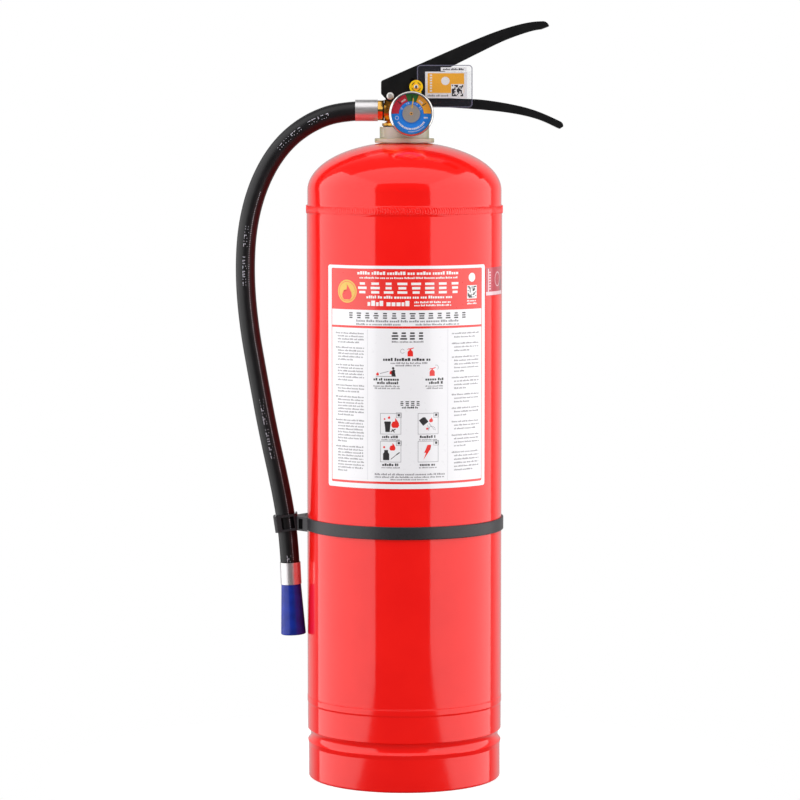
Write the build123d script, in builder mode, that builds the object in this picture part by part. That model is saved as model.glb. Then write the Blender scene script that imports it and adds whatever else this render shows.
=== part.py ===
"""A portable stored-pressure dry-powder fire extinguisher, in millimetres.

The origin is the centre of the foot on the floor. +Z is up, -Y is the front, where the gauge and the label
face, the levers point to +X and the hose hangs on the -X side.
"""

from build123d import *
import math
import os

os.makedirs("parts", exist_ok=True)

# ---- driving dimensions ----------------------------------------------------------------------
SHELL_R = 80.0            # outside radius of the cylinder
WALL = 1.4                # steel sheet of the shell
DOME_R = 79.4             # the upper dome is a little slimmer than the shell
DOME_BASE_Z = 483.8       # where the straight skirt of the dome ends and its half ellipse begins
DOME_RISE = DOME_R / 2    # a two-to-one elliptical head
SEAM_Z = 467.0            # shell and upper dome meet here, under the weld
SKIRT_Z = 67.7            # top edge of the base ring
GROOVE_Z = 35.6           # rolled groove of the base ring

NECK_R = 19.0             # steel neck boss, outside
THREAD_R = 15.0           # thread between neck and valve
NECK_TOP_Z = 534.6
NECK_LOW_Z = 506.0

PORT_Z = 548.8            # axis of the hose outlet, along X
PORT_FACE_X = -16.4       # face of the outlet boss
GAUGE_X, GAUGE_Z = 5.5, 546.1
GAUGE_BACK_Y = -20.9      # back of the gauge case
BEZEL_R = 18.15

PIVOT_X, PIVOT_Z = -11.5, 560.4
PIN_X, PIN_Z, PIN_R = 9.5, 567.8, 1.6
SHEET = 1.5               # stamped sheet of both levers
LEVER_Y = 13.0            # half width of the squeeze lever, outside
HANDLE_Y = 11.1           # half width of the carry handle, outside
SQUEEZE_DEG = 16.0
THROUGH = 30.0            # half length of a cut that goes right through the valve and the levers

HOSE_R = 7.9              # outside radius of the hose
HOSE_BORE_R = 4.5
STRAP_Z = (205.9, 216.1)
STRAP_R = 81.6

LABEL_Z = (246.9, 425.3)
LABEL_HALF_DEG, LABEL_MID_DEG = 51.7, 2.0
PAPER = 0.2               # thickness of a stuck label with its film


def save(piece, name):
    """Label a finished piece and write its STEP file."""
    piece.part.label = name
    export_step(piece.part, "parts/" + name + ".step")


def ring_profile(r_in, r_out, z_low, z_high):
    """Add a rectangular ring section to the sketch under way, in the plane of X and Z."""
    with Locations(((r_in + r_out) / 2, (z_low + z_high) / 2)):
        Rectangle(r_out - r_in, z_high - z_low)


# ---- the pressure vessel ---------------------------------------------------------------------
SPIGOT_R = SHELL_R - WALL          # the shell's lower end is necked in to take the skirt
SPIGOT_TOP_Z = SKIRT_Z - 0.9
SPIGOT_LOW_Z = 42.0

with BuildPart() as cylinder_shell:
    with BuildSketch(Plane.XZ):
        with BuildLine():
            Polyline(
                (SHELL_R - WALL, SEAM_Z),
                (SHELL_R, SEAM_Z),
                (SHELL_R, SKIRT_Z + 0.7),
                (SPIGOT_R, SPIGOT_TOP_Z),
                (SPIGOT_R, SPIGOT_LOW_Z),
                (SPIGOT_R - WALL, SPIGOT_LOW_Z),
                (SPIGOT_R - WALL, SPIGOT_TOP_Z + 0.6),
                (SHELL_R - WALL, SKIRT_Z + 1.4),
                close=True,
            )
        make_face()
    revolve(axis=Axis.Z)
save(cylinder_shell, "cylinder_shell")

with BuildPart() as upper_dome:
    with BuildSketch(Plane.XZ):
        with BuildLine():
            outer = EllipticalCenterArc((0, DOME_BASE_Z), DOME_R, DOME_RISE, 0, arc_size=90)
            inner = EllipticalCenterArc((0, DOME_BASE_Z), DOME_R - WALL, DOME_RISE - WALL, 0, arc_size=90)
            Line(outer @ 1, inner @ 1)
            Polyline(outer @ 0, (DOME_R, SEAM_Z), (DOME_R - WALL, SEAM_Z), inner @ 0)
        make_face()
    revolve(axis=Axis.Z)
    with Locations((0, 0, DOME_BASE_Z)):
        Cylinder(NECK_R, 80, align=(Align.CENTER, Align.CENTER, Align.MIN), mode=Mode.SUBTRACT)
save(upper_dome, "upper_dome")

WELD_Z = (464.3, 472.8)
WELD_PROUD = 0.5
with BuildPart() as shoulder_weld:
    with BuildSketch(Plane.XZ):
        with BuildLine():
            Polyline((SHELL_R, WELD_Z[0]), (SHELL_R, SEAM_Z), (DOME_R, SEAM_Z), (DOME_R, WELD_Z[1]))
            crown = (SHELL_R + WELD_PROUD, (WELD_Z[0] + WELD_Z[1]) / 2)
            ThreePointArc((DOME_R, WELD_Z[1]), crown, (SHELL_R, WELD_Z[0]))
        make_face()
    revolve(axis=Axis.Z)
save(shoulder_weld, "shoulder_weld")

HEAD_R = SPIGOT_R - WALL           # the bottom head sits inside the spigot
HEAD_Z = 50.0                      # where its skirt ends and its half ellipse begins
HEAD_DROP = 36.0
with BuildPart() as bottom_dome:
    with BuildSketch(Plane.XZ):
        with BuildLine():
            outer = EllipticalCenterArc((0, HEAD_Z), HEAD_R, HEAD_DROP, -90, arc_size=90)
            inner = EllipticalCenterArc((0, HEAD_Z), HEAD_R - WALL, HEAD_DROP - WALL, -90, arc_size=90)
            Line(outer @ 0, inner @ 0)
            Polyline(outer @ 1, (HEAD_R, HEAD_Z + 12), (HEAD_R - WALL, HEAD_Z + 12), inner @ 1)
        make_face()
    revolve(axis=Axis.Z)
save(bottom_dome, "bottom_dome")

# The skirt: a proud lip at its top edge, a rolled groove, and a foot turned in on the floor.
FOOT_R = 79.1
LIP_R = 80.2
SKIRT_R = 79.85
SKIRT_IN = SPIGOT_R + 0.05
with BuildPart() as base_ring:
    with BuildSketch(Plane.XZ):
        with BuildLine():
            Polyline(
                (SKIRT_IN, SKIRT_Z - 1.5), (LIP_R - 0.35, SKIRT_Z),
                (LIP_R, SKIRT_Z - 0.5), (LIP_R, SKIRT_Z - 4.6),
            )
            Line((LIP_R, SKIRT_Z - 4.6), (SKIRT_R, SKIRT_Z - 6.0))
            Line((SKIRT_R, SKIRT_Z - 6.0), (SKIRT_R, GROOVE_Z + 5))
            ThreePointArc((SKIRT_R, GROOVE_Z + 5), (77.4, GROOVE_Z), (SKIRT_R - 0.1, GROOVE_Z - 5))
            Line((SKIRT_R - 0.1, GROOVE_Z - 5), (FOOT_R, GROOVE_Z - 8.6))
            Line((FOOT_R, GROOVE_Z - 8.6), (FOOT_R, 1.6))
            ThreePointArc((FOOT_R, 1.6), (FOOT_R - 0.45, 0.45), (FOOT_R - 1.6, 0))
            Line((FOOT_R - 1.6, 0), (FOOT_R - 3.6, 0))
            Line((FOOT_R - 3.6, 0), (FOOT_R - 3.6, WALL))
            Line((FOOT_R - 3.6, WALL), (FOOT_R - WALL, WALL + 1.0))
            Line((FOOT_R - WALL, WALL + 1.0), (FOOT_R - WALL, GROOVE_Z - 8.0))
            Line((FOOT_R - WALL, GROOVE_Z - 8.0), (SKIRT_IN, GROOVE_Z - 4.6))
            ThreePointArc((SKIRT_IN, GROOVE_Z - 4.6), (76.0, GROOVE_Z), (SKIRT_IN, GROOVE_Z + 4.6))
            Line((SKIRT_IN, GROOVE_Z + 4.6), (SKIRT_IN, SKIRT_Z - 1.5))
        make_face()
    revolve(axis=Axis.Z)
save(base_ring, "base_ring")

# ---- neck and collar -------------------------------------------------------------------------
with BuildPart() as neck_boss:
    with BuildSketch(Plane.XZ):
        ring_profile(THREAD_R, NECK_R, NECK_LOW_Z, NECK_TOP_Z)
    revolve(axis=Axis.Z)
    chamfer(neck_boss.edges().filter_by(GeomType.CIRCLE).group_by(Axis.Z)[-1], 0.5)
save(neck_boss, "neck_boss")

COLLAR_R, COLLAR_IN, FLANGE_R = 20.2, 19.1, 24.3
COLLAR_Z = (522.5, 526.2, 535.5)   # foot of the flange, top of the flange, top of the tube
with BuildPart() as neck_collar:
    with BuildSketch(Plane.XZ):
        ring_profile(COLLAR_IN, COLLAR_R, COLLAR_Z[0], COLLAR_Z[2])
        ring_profile(COLLAR_IN, FLANGE_R, COLLAR_Z[0], COLLAR_Z[1])
    revolve(axis=Axis.Z)
    fillet(neck_collar.edges().filter_by(GeomType.CIRCLE).sort_by(SortBy.RADIUS)[-2:], 0.8)
save(neck_collar, "neck_collar")

VALVE_FLANGE_Z = (536.2, 538.4)
with BuildPart() as neck_oring:
    with BuildSketch(Plane.XZ):
        with Locations((16.7, (NECK_TOP_Z + VALVE_FLANGE_Z[0]) / 2)):
            Circle((VALVE_FLANGE_Z[0] - NECK_TOP_Z) / 2)
    revolve(axis=Axis.Z)
save(neck_oring, "neck_oring")

# ---- valve -----------------------------------------------------------------------------------
BARREL_R = 13.0
BARREL_TOP_Z = 557.0
SPIGOT_FOOT_Z = 512.0
BLOCK_Y = 9.5                      # half width of the block between the handle's ears
BLOCK_TOP_Z = 566.0
CHAMBER_R, CHAMBER_TOP_Z = 9.0, 541.0
SEAT_R, GUIDE_LOW_Z = 5.0, 552.0
STEM_R = 3.1
GUIDE_R = STEM_R + 0.08
OUTLET_BOSS_R = 8.75
OUTLET_THREAD_R = 6.05
GAUGE_BOSS_R, GAUGE_THREAD_R = 6.0, 4.8
GAUGE_BOSS_Y = -19.5
PASSAGE_R = 3.0                    # way for the powder through outlet, tail and nozzle
RIVET_R = 2.5
HANDLE_PIN_X, HANDLE_PIN_Z, HANDLE_PIN_R = 7.4, 560.2, 1.9

with BuildPart() as valve_body:
    with BuildSketch(Plane.XZ):
        with BuildLine():
            Polyline(
                (0, SPIGOT_FOOT_Z), (THREAD_R - 1.1, SPIGOT_FOOT_Z), (THREAD_R - 0.1, SPIGOT_FOOT_Z + 1),
                (THREAD_R - 0.1, VALVE_FLANGE_Z[0]), (17.9, VALVE_FLANGE_Z[0]),
                (18.3, VALVE_FLANGE_Z[0] + 0.4),
                (18.3, VALVE_FLANGE_Z[1]),
            )
            RadiusArc((18.3, VALVE_FLANGE_Z[1]), (BARREL_R, VALVE_FLANGE_Z[1] + 4.0), 5.0)
            Polyline(
                (BARREL_R, VALVE_FLANGE_Z[1] + 4.0), (BARREL_R, BARREL_TOP_Z - 0.6),
                (BARREL_R - 0.6, BARREL_TOP_Z), (0, BARREL_TOP_Z), (0, SPIGOT_FOOT_Z),
            )
        make_face()
    revolve(axis=Axis.Z)
    # block for the levers
    with BuildSketch(Plane.XZ):
        with BuildLine():
            Polyline(
                (-15.0, BARREL_TOP_Z - 8), (-15.0, BLOCK_TOP_Z - 3.5),
                (-12.0, BLOCK_TOP_Z), (6.0, BLOCK_TOP_Z),
                (6.0, HANDLE_PIN_Z + 3.4), (11.0, HANDLE_PIN_Z + 3.4), (11.0, BARREL_TOP_Z - 8), close=True,
            )
        make_face()
    extrude(amount=BLOCK_Y, both=True)
    # outlet boss along -X and gauge boss along -Y
    with BuildSketch(Plane.YZ.offset(PORT_FACE_X)):
        with Locations((0, PORT_Z)):
            Circle(OUTLET_BOSS_R)
    extrude(amount=-PORT_FACE_X)
    with BuildSketch(Plane.XZ.offset(-GAUGE_BOSS_Y)):
        with Locations((GAUGE_X, GAUGE_Z)):
            Circle(GAUGE_BOSS_R)
    extrude(amount=GAUGE_BOSS_Y)
    # chamber, seat, stem guide
    with BuildSketch(Plane.XY.offset(SPIGOT_FOOT_Z)):
        Circle(CHAMBER_R)
    extrude(amount=CHAMBER_TOP_Z - SPIGOT_FOOT_Z, mode=Mode.SUBTRACT)
    with BuildSketch(Plane.XY.offset(CHAMBER_TOP_Z)):
        Circle(SEAT_R)
    extrude(amount=GUIDE_LOW_Z - CHAMBER_TOP_Z, mode=Mode.SUBTRACT)
    with BuildSketch(Plane.XY.offset(GUIDE_LOW_Z)):
        Circle(GUIDE_R)
    extrude(amount=BLOCK_TOP_Z - GUIDE_LOW_Z, mode=Mode.SUBTRACT)
    # outlet: threaded mouth, then a smaller way to the seat
    with BuildSketch(Plane.YZ.offset(PORT_FACE_X)):
        with Locations((0, PORT_Z)):
            Circle(OUTLET_THREAD_R)
    extrude(amount=8.4, mode=Mode.SUBTRACT)
    with BuildSketch(Plane.YZ.offset(PORT_FACE_X)):
        with Locations((0, PORT_Z)):
            Circle(PASSAGE_R)
    extrude(amount=-PORT_FACE_X, mode=Mode.SUBTRACT)
    # gauge: threaded mouth, a small drilling, and a drop to the pressure chamber
    with BuildSketch(Plane.XZ.offset(-GAUGE_BOSS_Y)):
        with Locations((GAUGE_X, GAUGE_Z)):
            Circle(GAUGE_THREAD_R)
    extrude(amount=-7.0, mode=Mode.SUBTRACT)
    with BuildSketch(Plane.XZ.offset(12.0)):
        with Locations((GAUGE_X, GAUGE_Z)):
            Circle(1.0)
    extrude(amount=-6.5, mode=Mode.SUBTRACT)
    with BuildSketch(Plane.XY.offset(CHAMBER_TOP_Z - 1)):
        with Locations((GAUGE_X, -6.0)):
            Circle(0.8)
    extrude(amount=GAUGE_Z - CHAMBER_TOP_Z + 1, mode=Mode.SUBTRACT)
    # cross holes for the pivot rivet and the handle pin
    with BuildSketch(Plane.XZ):
        with Locations((PIVOT_X, PIVOT_Z)):
            Circle(RIVET_R)
        with Locations((HANDLE_PIN_X, HANDLE_PIN_Z)):
            Circle(HANDLE_PIN_R)
    extrude(amount=THROUGH, both=True, mode=Mode.SUBTRACT)
save(valve_body, "valve_body")

# Stem: rounded tip, groove for its O-ring, head that carries the rubber seal, tail inside the spring.
STEM_TIP_Z = 578.5
HEAD_TOP_Z = CHAMBER_TOP_Z - 2.0
SEAL_R = 7.0
GROOVE = (557.0, 558.3)
with BuildPart() as valve_stem:
    with BuildSketch(Plane.XZ):
        with BuildLine():
            tip = CenterArc((0, STEM_TIP_Z - STEM_R), STEM_R, 0, 90)
            Polyline(
                tip @ 0, (STEM_R, GROOVE[1]), (STEM_R - 1.0, GROOVE[1]), (STEM_R - 1.0, GROOVE[0]),
                (STEM_R, GROOVE[0]), (STEM_R, HEAD_TOP_Z + 2.0), (2.2, HEAD_TOP_Z + 2.0), (2.2, HEAD_TOP_Z),
                (SEAL_R, HEAD_TOP_Z), (SEAL_R, HEAD_TOP_Z - 2.5), (2.0, HEAD_TOP_Z - 2.5), (2.0, 525.0),
                (0, 525.0), tip @ 1,
            )
        make_face()
    revolve(axis=Axis.Z)
save(valve_stem, "valve_stem")

with BuildPart() as stem_seal:
    with BuildSketch(Plane.XZ):
        ring_profile(2.2, SEAL_R, HEAD_TOP_Z, CHAMBER_TOP_Z - 0.02)
    revolve(axis=Axis.Z)
save(stem_seal, "stem_seal")

ORING_R = (GROOVE[1] - GROOVE[0]) / 2 - 0.15
with BuildPart() as stem_oring:
    with BuildSketch(Plane.XZ):
        with Locations((STEM_R + 0.03 - ORING_R, (GROOVE[0] + GROOVE[1]) / 2)):
            Circle(ORING_R)
    revolve(axis=Axis.Z)
save(stem_oring, "stem_oring")

RETAINER_TOP_Z = 518.0
NIPPLE_R = 6.0
with BuildPart() as spring_retainer:
    with BuildSketch(Plane.XZ):
        ring_profile(4.2, CHAMBER_R, SPIGOT_FOOT_Z + 0.5, RETAINER_TOP_Z)
        ring_profile(4.2, NIPPLE_R, 497.0, SPIGOT_FOOT_Z + 0.5)
    revolve(axis=Axis.Z)
save(spring_retainer, "spring_retainer")

# The spring stands between the retainer and the stem's head.
SPRING_WIRE_R = 0.6
SPRING_COIL_R = 5.6
SPRING_Z = (RETAINER_TOP_Z + 0.75, HEAD_TOP_Z - 2.5 - 0.75)
SPRING_TURNS = 5
with BuildPart() as valve_spring:
    with BuildLine():
        coil = Helix(
            pitch=(SPRING_Z[1] - SPRING_Z[0]) / SPRING_TURNS,
            height=SPRING_Z[1] - SPRING_Z[0],
            radius=SPRING_COIL_R,
            center=(0, 0, SPRING_Z[0]),
        )
    with BuildSketch(Plane(origin=coil @ 0, z_dir=coil % 0)):
        Circle(SPRING_WIRE_R)
    sweep(path=coil, is_frenet=True)
save(valve_spring, "valve_spring")

TUBE_R = 7.6
TUBE_LOW_Z = 22.0
with BuildPart() as dip_tube:
    with BuildSketch(Plane.XZ):
        ring_profile(NIPPLE_R, TUBE_R, TUBE_LOW_Z, 511.5)
    revolve(axis=Axis.Z)
    # the foot is cut on a slant, so that it can't seal against the bottom
    with BuildSketch(Plane.XZ):
        with BuildLine():
            Polyline((-9, 18), (9, 18), (9, TUBE_LOW_Z), (-9, TUBE_LOW_Z + 9), close=True)
        make_face()
    extrude(amount=10, both=True, mode=Mode.SUBTRACT)
save(dip_tube, "dip_tube")

# The powder fills about nine tenths of the vessel and leaves the top to the gas.
POWDER_TOP_Z = 425.0
with BuildPart() as powder_charge:
    with BuildSketch(Plane.XZ):
        with BuildLine():
            floor_arc = EllipticalCenterArc(
                (0, HEAD_Z), HEAD_R - WALL - 0.6, HEAD_DROP - WALL - 0.6, -90, arc_size=90
            )
            Polyline(
                floor_arc @ 1, (HEAD_R - WALL - 0.6, HEAD_Z + 18), (SPIGOT_R - 0.6, HEAD_Z + 24),
                (SPIGOT_R - 0.6, POWDER_TOP_Z), (0, POWDER_TOP_Z), floor_arc @ 0,
            )
        make_face()
    revolve(axis=Axis.Z)
    with BuildSketch(Plane.XY):
        Circle(TUBE_R + 0.4)
    extrude(amount=POWDER_TOP_Z, mode=Mode.SUBTRACT)
save(powder_charge, "powder_charge")

# ---- levers ----------------------------------------------------------------------------------
# Each is one stamped channel: the side outline is extruded to the full width and hollowed to the sheet.
with BuildPart() as squeeze_lever:
    with BuildSketch(Plane.XZ):
        with BuildLine():
            back = Line((-19.0, 572.6), (44.0, 600.15))
            bow = Spline(
                back @ 1, (67.7, 610.0), (83.0, 615.4), (97.5, 619.2), (111.5, 620.8),
                tangents=(back % 1, (1, 0.02)),
            )
            crest = ThreePointArc(bow @ 1, (115.6, 619.6), (117.3, 616.8))
            tip = Line(crest @ 1, (112.2, 614.9))
            under = Spline(
                tip @ 1, (96.9, 611.3), (80.7, 605.2), (66.0, 598.2), (48.0, 589.25),
                tangents=((-1, -0.1), (-1, -0.5)),
            )
            Polyline(under @ 1, (37.3, 583.9), (13.0, 564.6), (-7.7, 558.2))
            ThreePointArc((-7.7, 558.2), (-11.5, 555.9), (-15.6, 558.6))
            Polyline((-15.6, 558.6), (-19.0, 562.2), (-19.0, 572.6))
        make_face()
    extrude(amount=LEVER_Y, both=True)
    fillet(squeeze_lever.edges().filter_by(Axis.Y).group_by(Axis.X)[0], 2.2)
    # hollow, open below: the roof of the hollow is the top edge moved in by the sheet
    with BuildSketch(Plane.XZ):
        with BuildLine():
            rise = SHEET / math.cos(math.atan(0.4373))
            roof = Line((-19.0 + SHEET, 573.26 - rise), (44.0, 600.15 - rise))
            bow_in = Spline(
                roof @ 1, (67.9, 608.35), (83.3, 613.8), (97.7, 617.65), (111.5, 619.2),
                tangents=(roof % 1, (1, 0.02)),
            )
            Polyline(bow_in @ 1, (113.6, 612), (113.6, 540), (-19.0 + SHEET, 540), roof @ 0)
        make_face()
    extrude(amount=LEVER_Y - SHEET, both=True, mode=Mode.SUBTRACT)
    # pivot hole, and the two short arc slots in which the safety pin lies
    with BuildSketch(Plane.XZ):
        with Locations((PIVOT_X, PIVOT_Z)):
            Circle(RIVET_R + 0.06)
    extrude(amount=THROUGH, both=True, mode=Mode.SUBTRACT)
    reach = math.hypot(PIN_X - PIVOT_X, PIN_Z - PIVOT_Z)
    start = math.degrees(math.atan2(PIN_Z - PIVOT_Z, PIN_X - PIVOT_X))
    pin_path = CenterArc((PIVOT_X, PIVOT_Z), reach, start - 0.5, SQUEEZE_DEG + 1.0, mode=Mode.PRIVATE)
    with BuildSketch(Plane.XZ):
        SlotArc(pin_path, 2 * (PIN_R + 0.15))
    extrude(amount=THROUGH, both=True, mode=Mode.SUBTRACT)
save(squeeze_lever, "squeeze_lever")

with BuildPart() as carry_handle:
    with BuildSketch(Plane.XZ):
        with BuildLine():
            ear = Polyline(
                (-15.2, 557.2), (-15.2, 561.5), (-12.0, 565.8), (1.0, 574.5), (14.0, 576.2), (17.0, 574.2),
                (31.0, 561.2), (38.0, 558.6), (54.7, 558.0),
            )
            brow = Spline(
                ear @ 1, (67.8, 556.9), (82.0, 554.7), (97.1, 551.5), (110.0, 547.4),
                (120.5, 542.9), (127.0, 539.8),
                tangents=((1, -0.03), (1, -0.5)),
            )
            snout = ThreePointArc(brow @ 1, (128.7, 538.1), (129.2, 535.8))
            nose = Line(snout @ 1, (126.6, 533.9))
            belly = Spline(
                nose @ 1, (117.9, 538.0), (108.0, 541.9), (96.0, 545.0), (81.0, 547.5),
                (66.0, 549.1), (24.0, 552.0),
                tangents=((-1, 0.42), (-1, 0.06)),
            )
            Polyline(belly @ 1, (13.9, 552.6), (13.9, 557.2), (-15.2, 557.2))
        make_face()
    extrude(amount=HANDLE_Y, both=True)
    # hollow, open above: the floor of the hollow is the bottom edge moved in by the sheet
    with BuildSketch(Plane.XZ):
        with BuildLine():
            floor_line = Spline(
                (124.2, 536.7), (117.9, 539.65), (108.0, 543.5), (96.0, 546.5), (81.0, 549.0),
                (66.0, 550.6), (24.0, 553.5),
                tangents=((-1, 0.42), (-1, 0.06)),
            )
            Polyline(
                floor_line @ 1, (13.0, 554.1), (13.0, 550), (-18.0, 550), (-18.0, 600),
                (127.2, 600), (127.2, 538.4),
                floor_line @ 0,
            )
        make_face()
    extrude(amount=HANDLE_Y - SHEET, both=True, mode=Mode.SUBTRACT)
    with BuildSketch(Plane.XZ):
        with Locations((PIVOT_X, PIVOT_Z)):
            Circle(RIVET_R)
        with Locations((HANDLE_PIN_X, HANDLE_PIN_Z)):
            Circle(HANDLE_PIN_R)
        with Locations((PIN_X, PIN_Z)):
            Circle(PIN_R + 0.1)
    extrude(amount=THROUGH, both=True, mode=Mode.SUBTRACT)
save(carry_handle, "carry_handle")

RIVET_HEAD_Y = LEVER_Y + 0.1       # under side of the rivet heads
RIVET_HEAD_R, RIVET_HEAD_T = 3.1, 1.7
with BuildPart() as pivot_rivet:
    with BuildSketch(Plane.XZ.offset(-RIVET_HEAD_Y - RIVET_HEAD_T)):
        with Locations((PIVOT_X, PIVOT_Z)):
            Circle(RIVET_HEAD_R)
    extrude(amount=2 * (RIVET_HEAD_Y + RIVET_HEAD_T))
    ends = pivot_rivet.edges().filter_by(GeomType.CIRCLE)
    fillet(ends, RIVET_HEAD_T - 0.15)
    with BuildSketch(Plane.XZ):
        with Locations((PIVOT_X, PIVOT_Z)):
            Circle(20)
            Circle(RIVET_R, mode=Mode.SUBTRACT)
    extrude(amount=RIVET_HEAD_Y, both=True, mode=Mode.SUBTRACT)
save(pivot_rivet, "pivot_rivet")

with BuildPart() as handle_pin:
    with BuildSketch(Plane.XZ):
        with Locations((HANDLE_PIN_X, HANDLE_PIN_Z)):
            Circle(HANDLE_PIN_R)
    extrude(amount=HANDLE_Y, both=True)
    chamfer(handle_pin.edges().filter_by(GeomType.CIRCLE), 0.3)
save(handle_pin, "handle_pin")

# ---- safety pin, ring, seal and tag ----------------------------------------------------------
EYE_Y = 19.0
EYE_R, EYE_HALF = 3.2, 1.7
RING_R, RING_WIRE_R = 12.0, 1.2
with BuildPart() as safety_pin:
    with BuildSketch(Plane.XZ.offset(20.0)):
        with Locations((PIN_X, PIN_Z)):
            Circle(PIN_R)
    extrude(amount=-(20.0 + EYE_Y))
    chamfer(safety_pin.edges().filter_by(GeomType.CIRCLE).group_by(Axis.Y)[0], 0.5)
    with BuildSketch(Plane.YZ.offset(PIN_X)):
        with Locations((EYE_Y, PIN_Z)):
            Circle(EYE_R)
    extrude(amount=EYE_HALF, both=True)
    with BuildSketch(Plane.YZ.offset(PIN_X)):
        with Locations((EYE_Y, PIN_Z)):
            Circle(RING_WIRE_R + 0.5)
    extrude(amount=10, both=True, mode=Mode.SUBTRACT)
save(safety_pin, "safety_pin")

with BuildPart() as pull_ring:
    Torus(RING_R, RING_WIRE_R, rotation=(90, 0, 0))
pull_ring.part.position = (PIN_X, EYE_Y, PIN_Z - RING_R)
save(pull_ring, "pull_ring")

TAG_Y = (-16.1, -13.6)             # front and back of the tag case
CASE_X, CASE_Z = (10.2, 55.2), (551.1, 585.5)
CARD_X, CARD_Z = (16.8, 50.8), (558.6, 580.1)
LUG_R = 5.5
with BuildPart() as tag_case:
    with BuildSketch(Plane.XZ.offset(-TAG_Y[0])):
        with Locations(((CASE_X[0] + CASE_X[1]) / 2, (CASE_Z[0] + CASE_Z[1]) / 2)):
            RectangleRounded(CASE_X[1] - CASE_X[0], CASE_Z[1] - CASE_Z[0], 3.0)
        with Locations((PIN_X, PIN_Z)):
            Circle(LUG_R)
        with BuildLine():
            Polyline(
                (PIN_X - 2, PIN_Z + 5.1), (14.5, 577.5), (14.5, 558.0), (PIN_X - 1, PIN_Z - 5.4), close=True
            )
        make_face()
        with Locations((PIN_X, PIN_Z)):
            Circle(PIN_R + 0.3, mode=Mode.SUBTRACT)
    extrude(amount=-(TAG_Y[1] - TAG_Y[0]))
    # pocket for the card, open at the right edge where the card goes in
    pocket_x = (CARD_X[0] - 0.4, CASE_X[1])
    with BuildSketch(Plane.XZ.offset(-TAG_Y[0] - 0.8)):
        with Locations(((pocket_x[0] + pocket_x[1]) / 2, (CARD_Z[0] + CARD_Z[1]) / 2)):
            Rectangle(pocket_x[1] - pocket_x[0], CARD_Z[1] - CARD_Z[0] + 0.8)
    extrude(amount=-0.9, mode=Mode.SUBTRACT)
    # shallow rim on the front
    with BuildSketch(Plane.XZ.offset(-TAG_Y[0])):
        with Locations(((CASE_X[0] + CASE_X[1]) / 2 + 1.0, (CASE_Z[0] + CASE_Z[1]) / 2)):
            RectangleRounded(CASE_X[1] - CASE_X[0] - 6.0, CASE_Z[1] - CASE_Z[0] - 3.4, 2.0)
        with Locations((PIN_X, PIN_Z)):
            Circle(LUG_R + 1.5, mode=Mode.SUBTRACT)
    extrude(amount=-0.3, mode=Mode.SUBTRACT)
save(tag_case, "tag_case")

CARD_Y, CARD_T = -15.1, 0.5
with BuildPart() as tag_card:
    with BuildSketch(Plane.XZ.offset(-CARD_Y)):
        with Locations(((CARD_X[0] + CARD_X[1]) / 2, (CARD_Z[0] + CARD_Z[1]) / 2)):
            Rectangle(CARD_X[1] - CARD_X[0], CARD_Z[1] - CARD_Z[0])
    extrude(amount=-CARD_T)
save(tag_card, "tag_card")

SEAL_Y = (-18.9, -16.1)
SEAL_DISC_R = 5.45
with BuildPart() as tamper_seal:
    with BuildSketch(Plane.XZ.offset(-SEAL_Y[0])):
        with Locations((PIN_X, PIN_Z)):
            Circle(SEAL_DISC_R)
        with BuildLine():
            Polyline(
                (PIN_X - 0.5, PIN_Z - 4.8), (PIN_X + 1.7, PIN_Z - 6.8), (PIN_X + 4.3, PIN_Z - 5.2),
                (PIN_X + 3.4, PIN_Z - 2.4), close=True,
            )
        make_face()
        with Locations((PIN_X, PIN_Z)):
            Circle(PIN_R + 0.08, mode=Mode.SUBTRACT)
    extrude(amount=-(SEAL_Y[1] - SEAL_Y[0]))
    # a dished face: a raised rim and a raised hub
    with BuildSketch(Plane.XZ.offset(-SEAL_Y[0])):
        with Locations((PIN_X, PIN_Z)):
            Circle(SEAL_DISC_R - 0.9)
            Circle(PIN_R + 1.0, mode=Mode.SUBTRACT)
    extrude(amount=-0.5, mode=Mode.SUBTRACT)
save(tamper_seal, "tamper_seal")

# ---- pressure gauge --------------------------------------------------------------------------
# Every piece is turned about the gauge's own axis, then put in place. Depth is Y, from the back forwards.
CASE_R = 17.2
CASE_FRONT_Y = -31.0
DIAL_Y, DIAL_T = -27.2, 0.5
BEZEL_Y = (-29.4, -33.6)
LENS_Y = (-31.2, -32.5)
DIAL_R = 16.3
HUB_R, HUB_T = 7.2, 0.6
ARBOR_R = 1.2
THREAD_END_Y = -12.6                # inner end of the case's thread
NEEDLE_DEG = 8.0                   # turn of the needle from straight up, clockwise from the front


def turned(piece, name):
    """Put a piece turned about the Y axis on the gauge's axis, and save it."""
    piece.part.position = (GAUGE_X, 0, GAUGE_Z)
    save(piece, name)


with BuildPart() as gauge_case:
    with BuildSketch(Plane.XY):
        Polygon(
            (0, THREAD_END_Y), (0, GAUGE_BACK_Y - 1.0), (CASE_R - 0.9, GAUGE_BACK_Y - 1.0),
            (CASE_R - 0.9, CASE_FRONT_Y),
            (CASE_R, CASE_FRONT_Y), (CASE_R, GAUGE_BACK_Y - 2.0), (CASE_R - 2.0, GAUGE_BACK_Y),
            (GAUGE_THREAD_R - 0.05, GAUGE_BACK_Y), (GAUGE_THREAD_R - 0.05, THREAD_END_Y), align=None,
        )
    revolve(axis=Axis.Y)
    with BuildSketch(Plane.XZ.offset(-THREAD_END_Y)):
        Circle(0.8)
    extrude(amount=14, mode=Mode.SUBTRACT)
turned(gauge_case, "gauge_case")

with BuildPart() as gauge_washer:
    with BuildSketch(Plane.XZ.offset(-GAUGE_BACK_Y)):
        Circle(6.0)
        Circle(GAUGE_THREAD_R, mode=Mode.SUBTRACT)
    extrude(amount=GAUGE_BACK_Y - GAUGE_BOSS_Y)
turned(gauge_washer, "gauge_washer")

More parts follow.
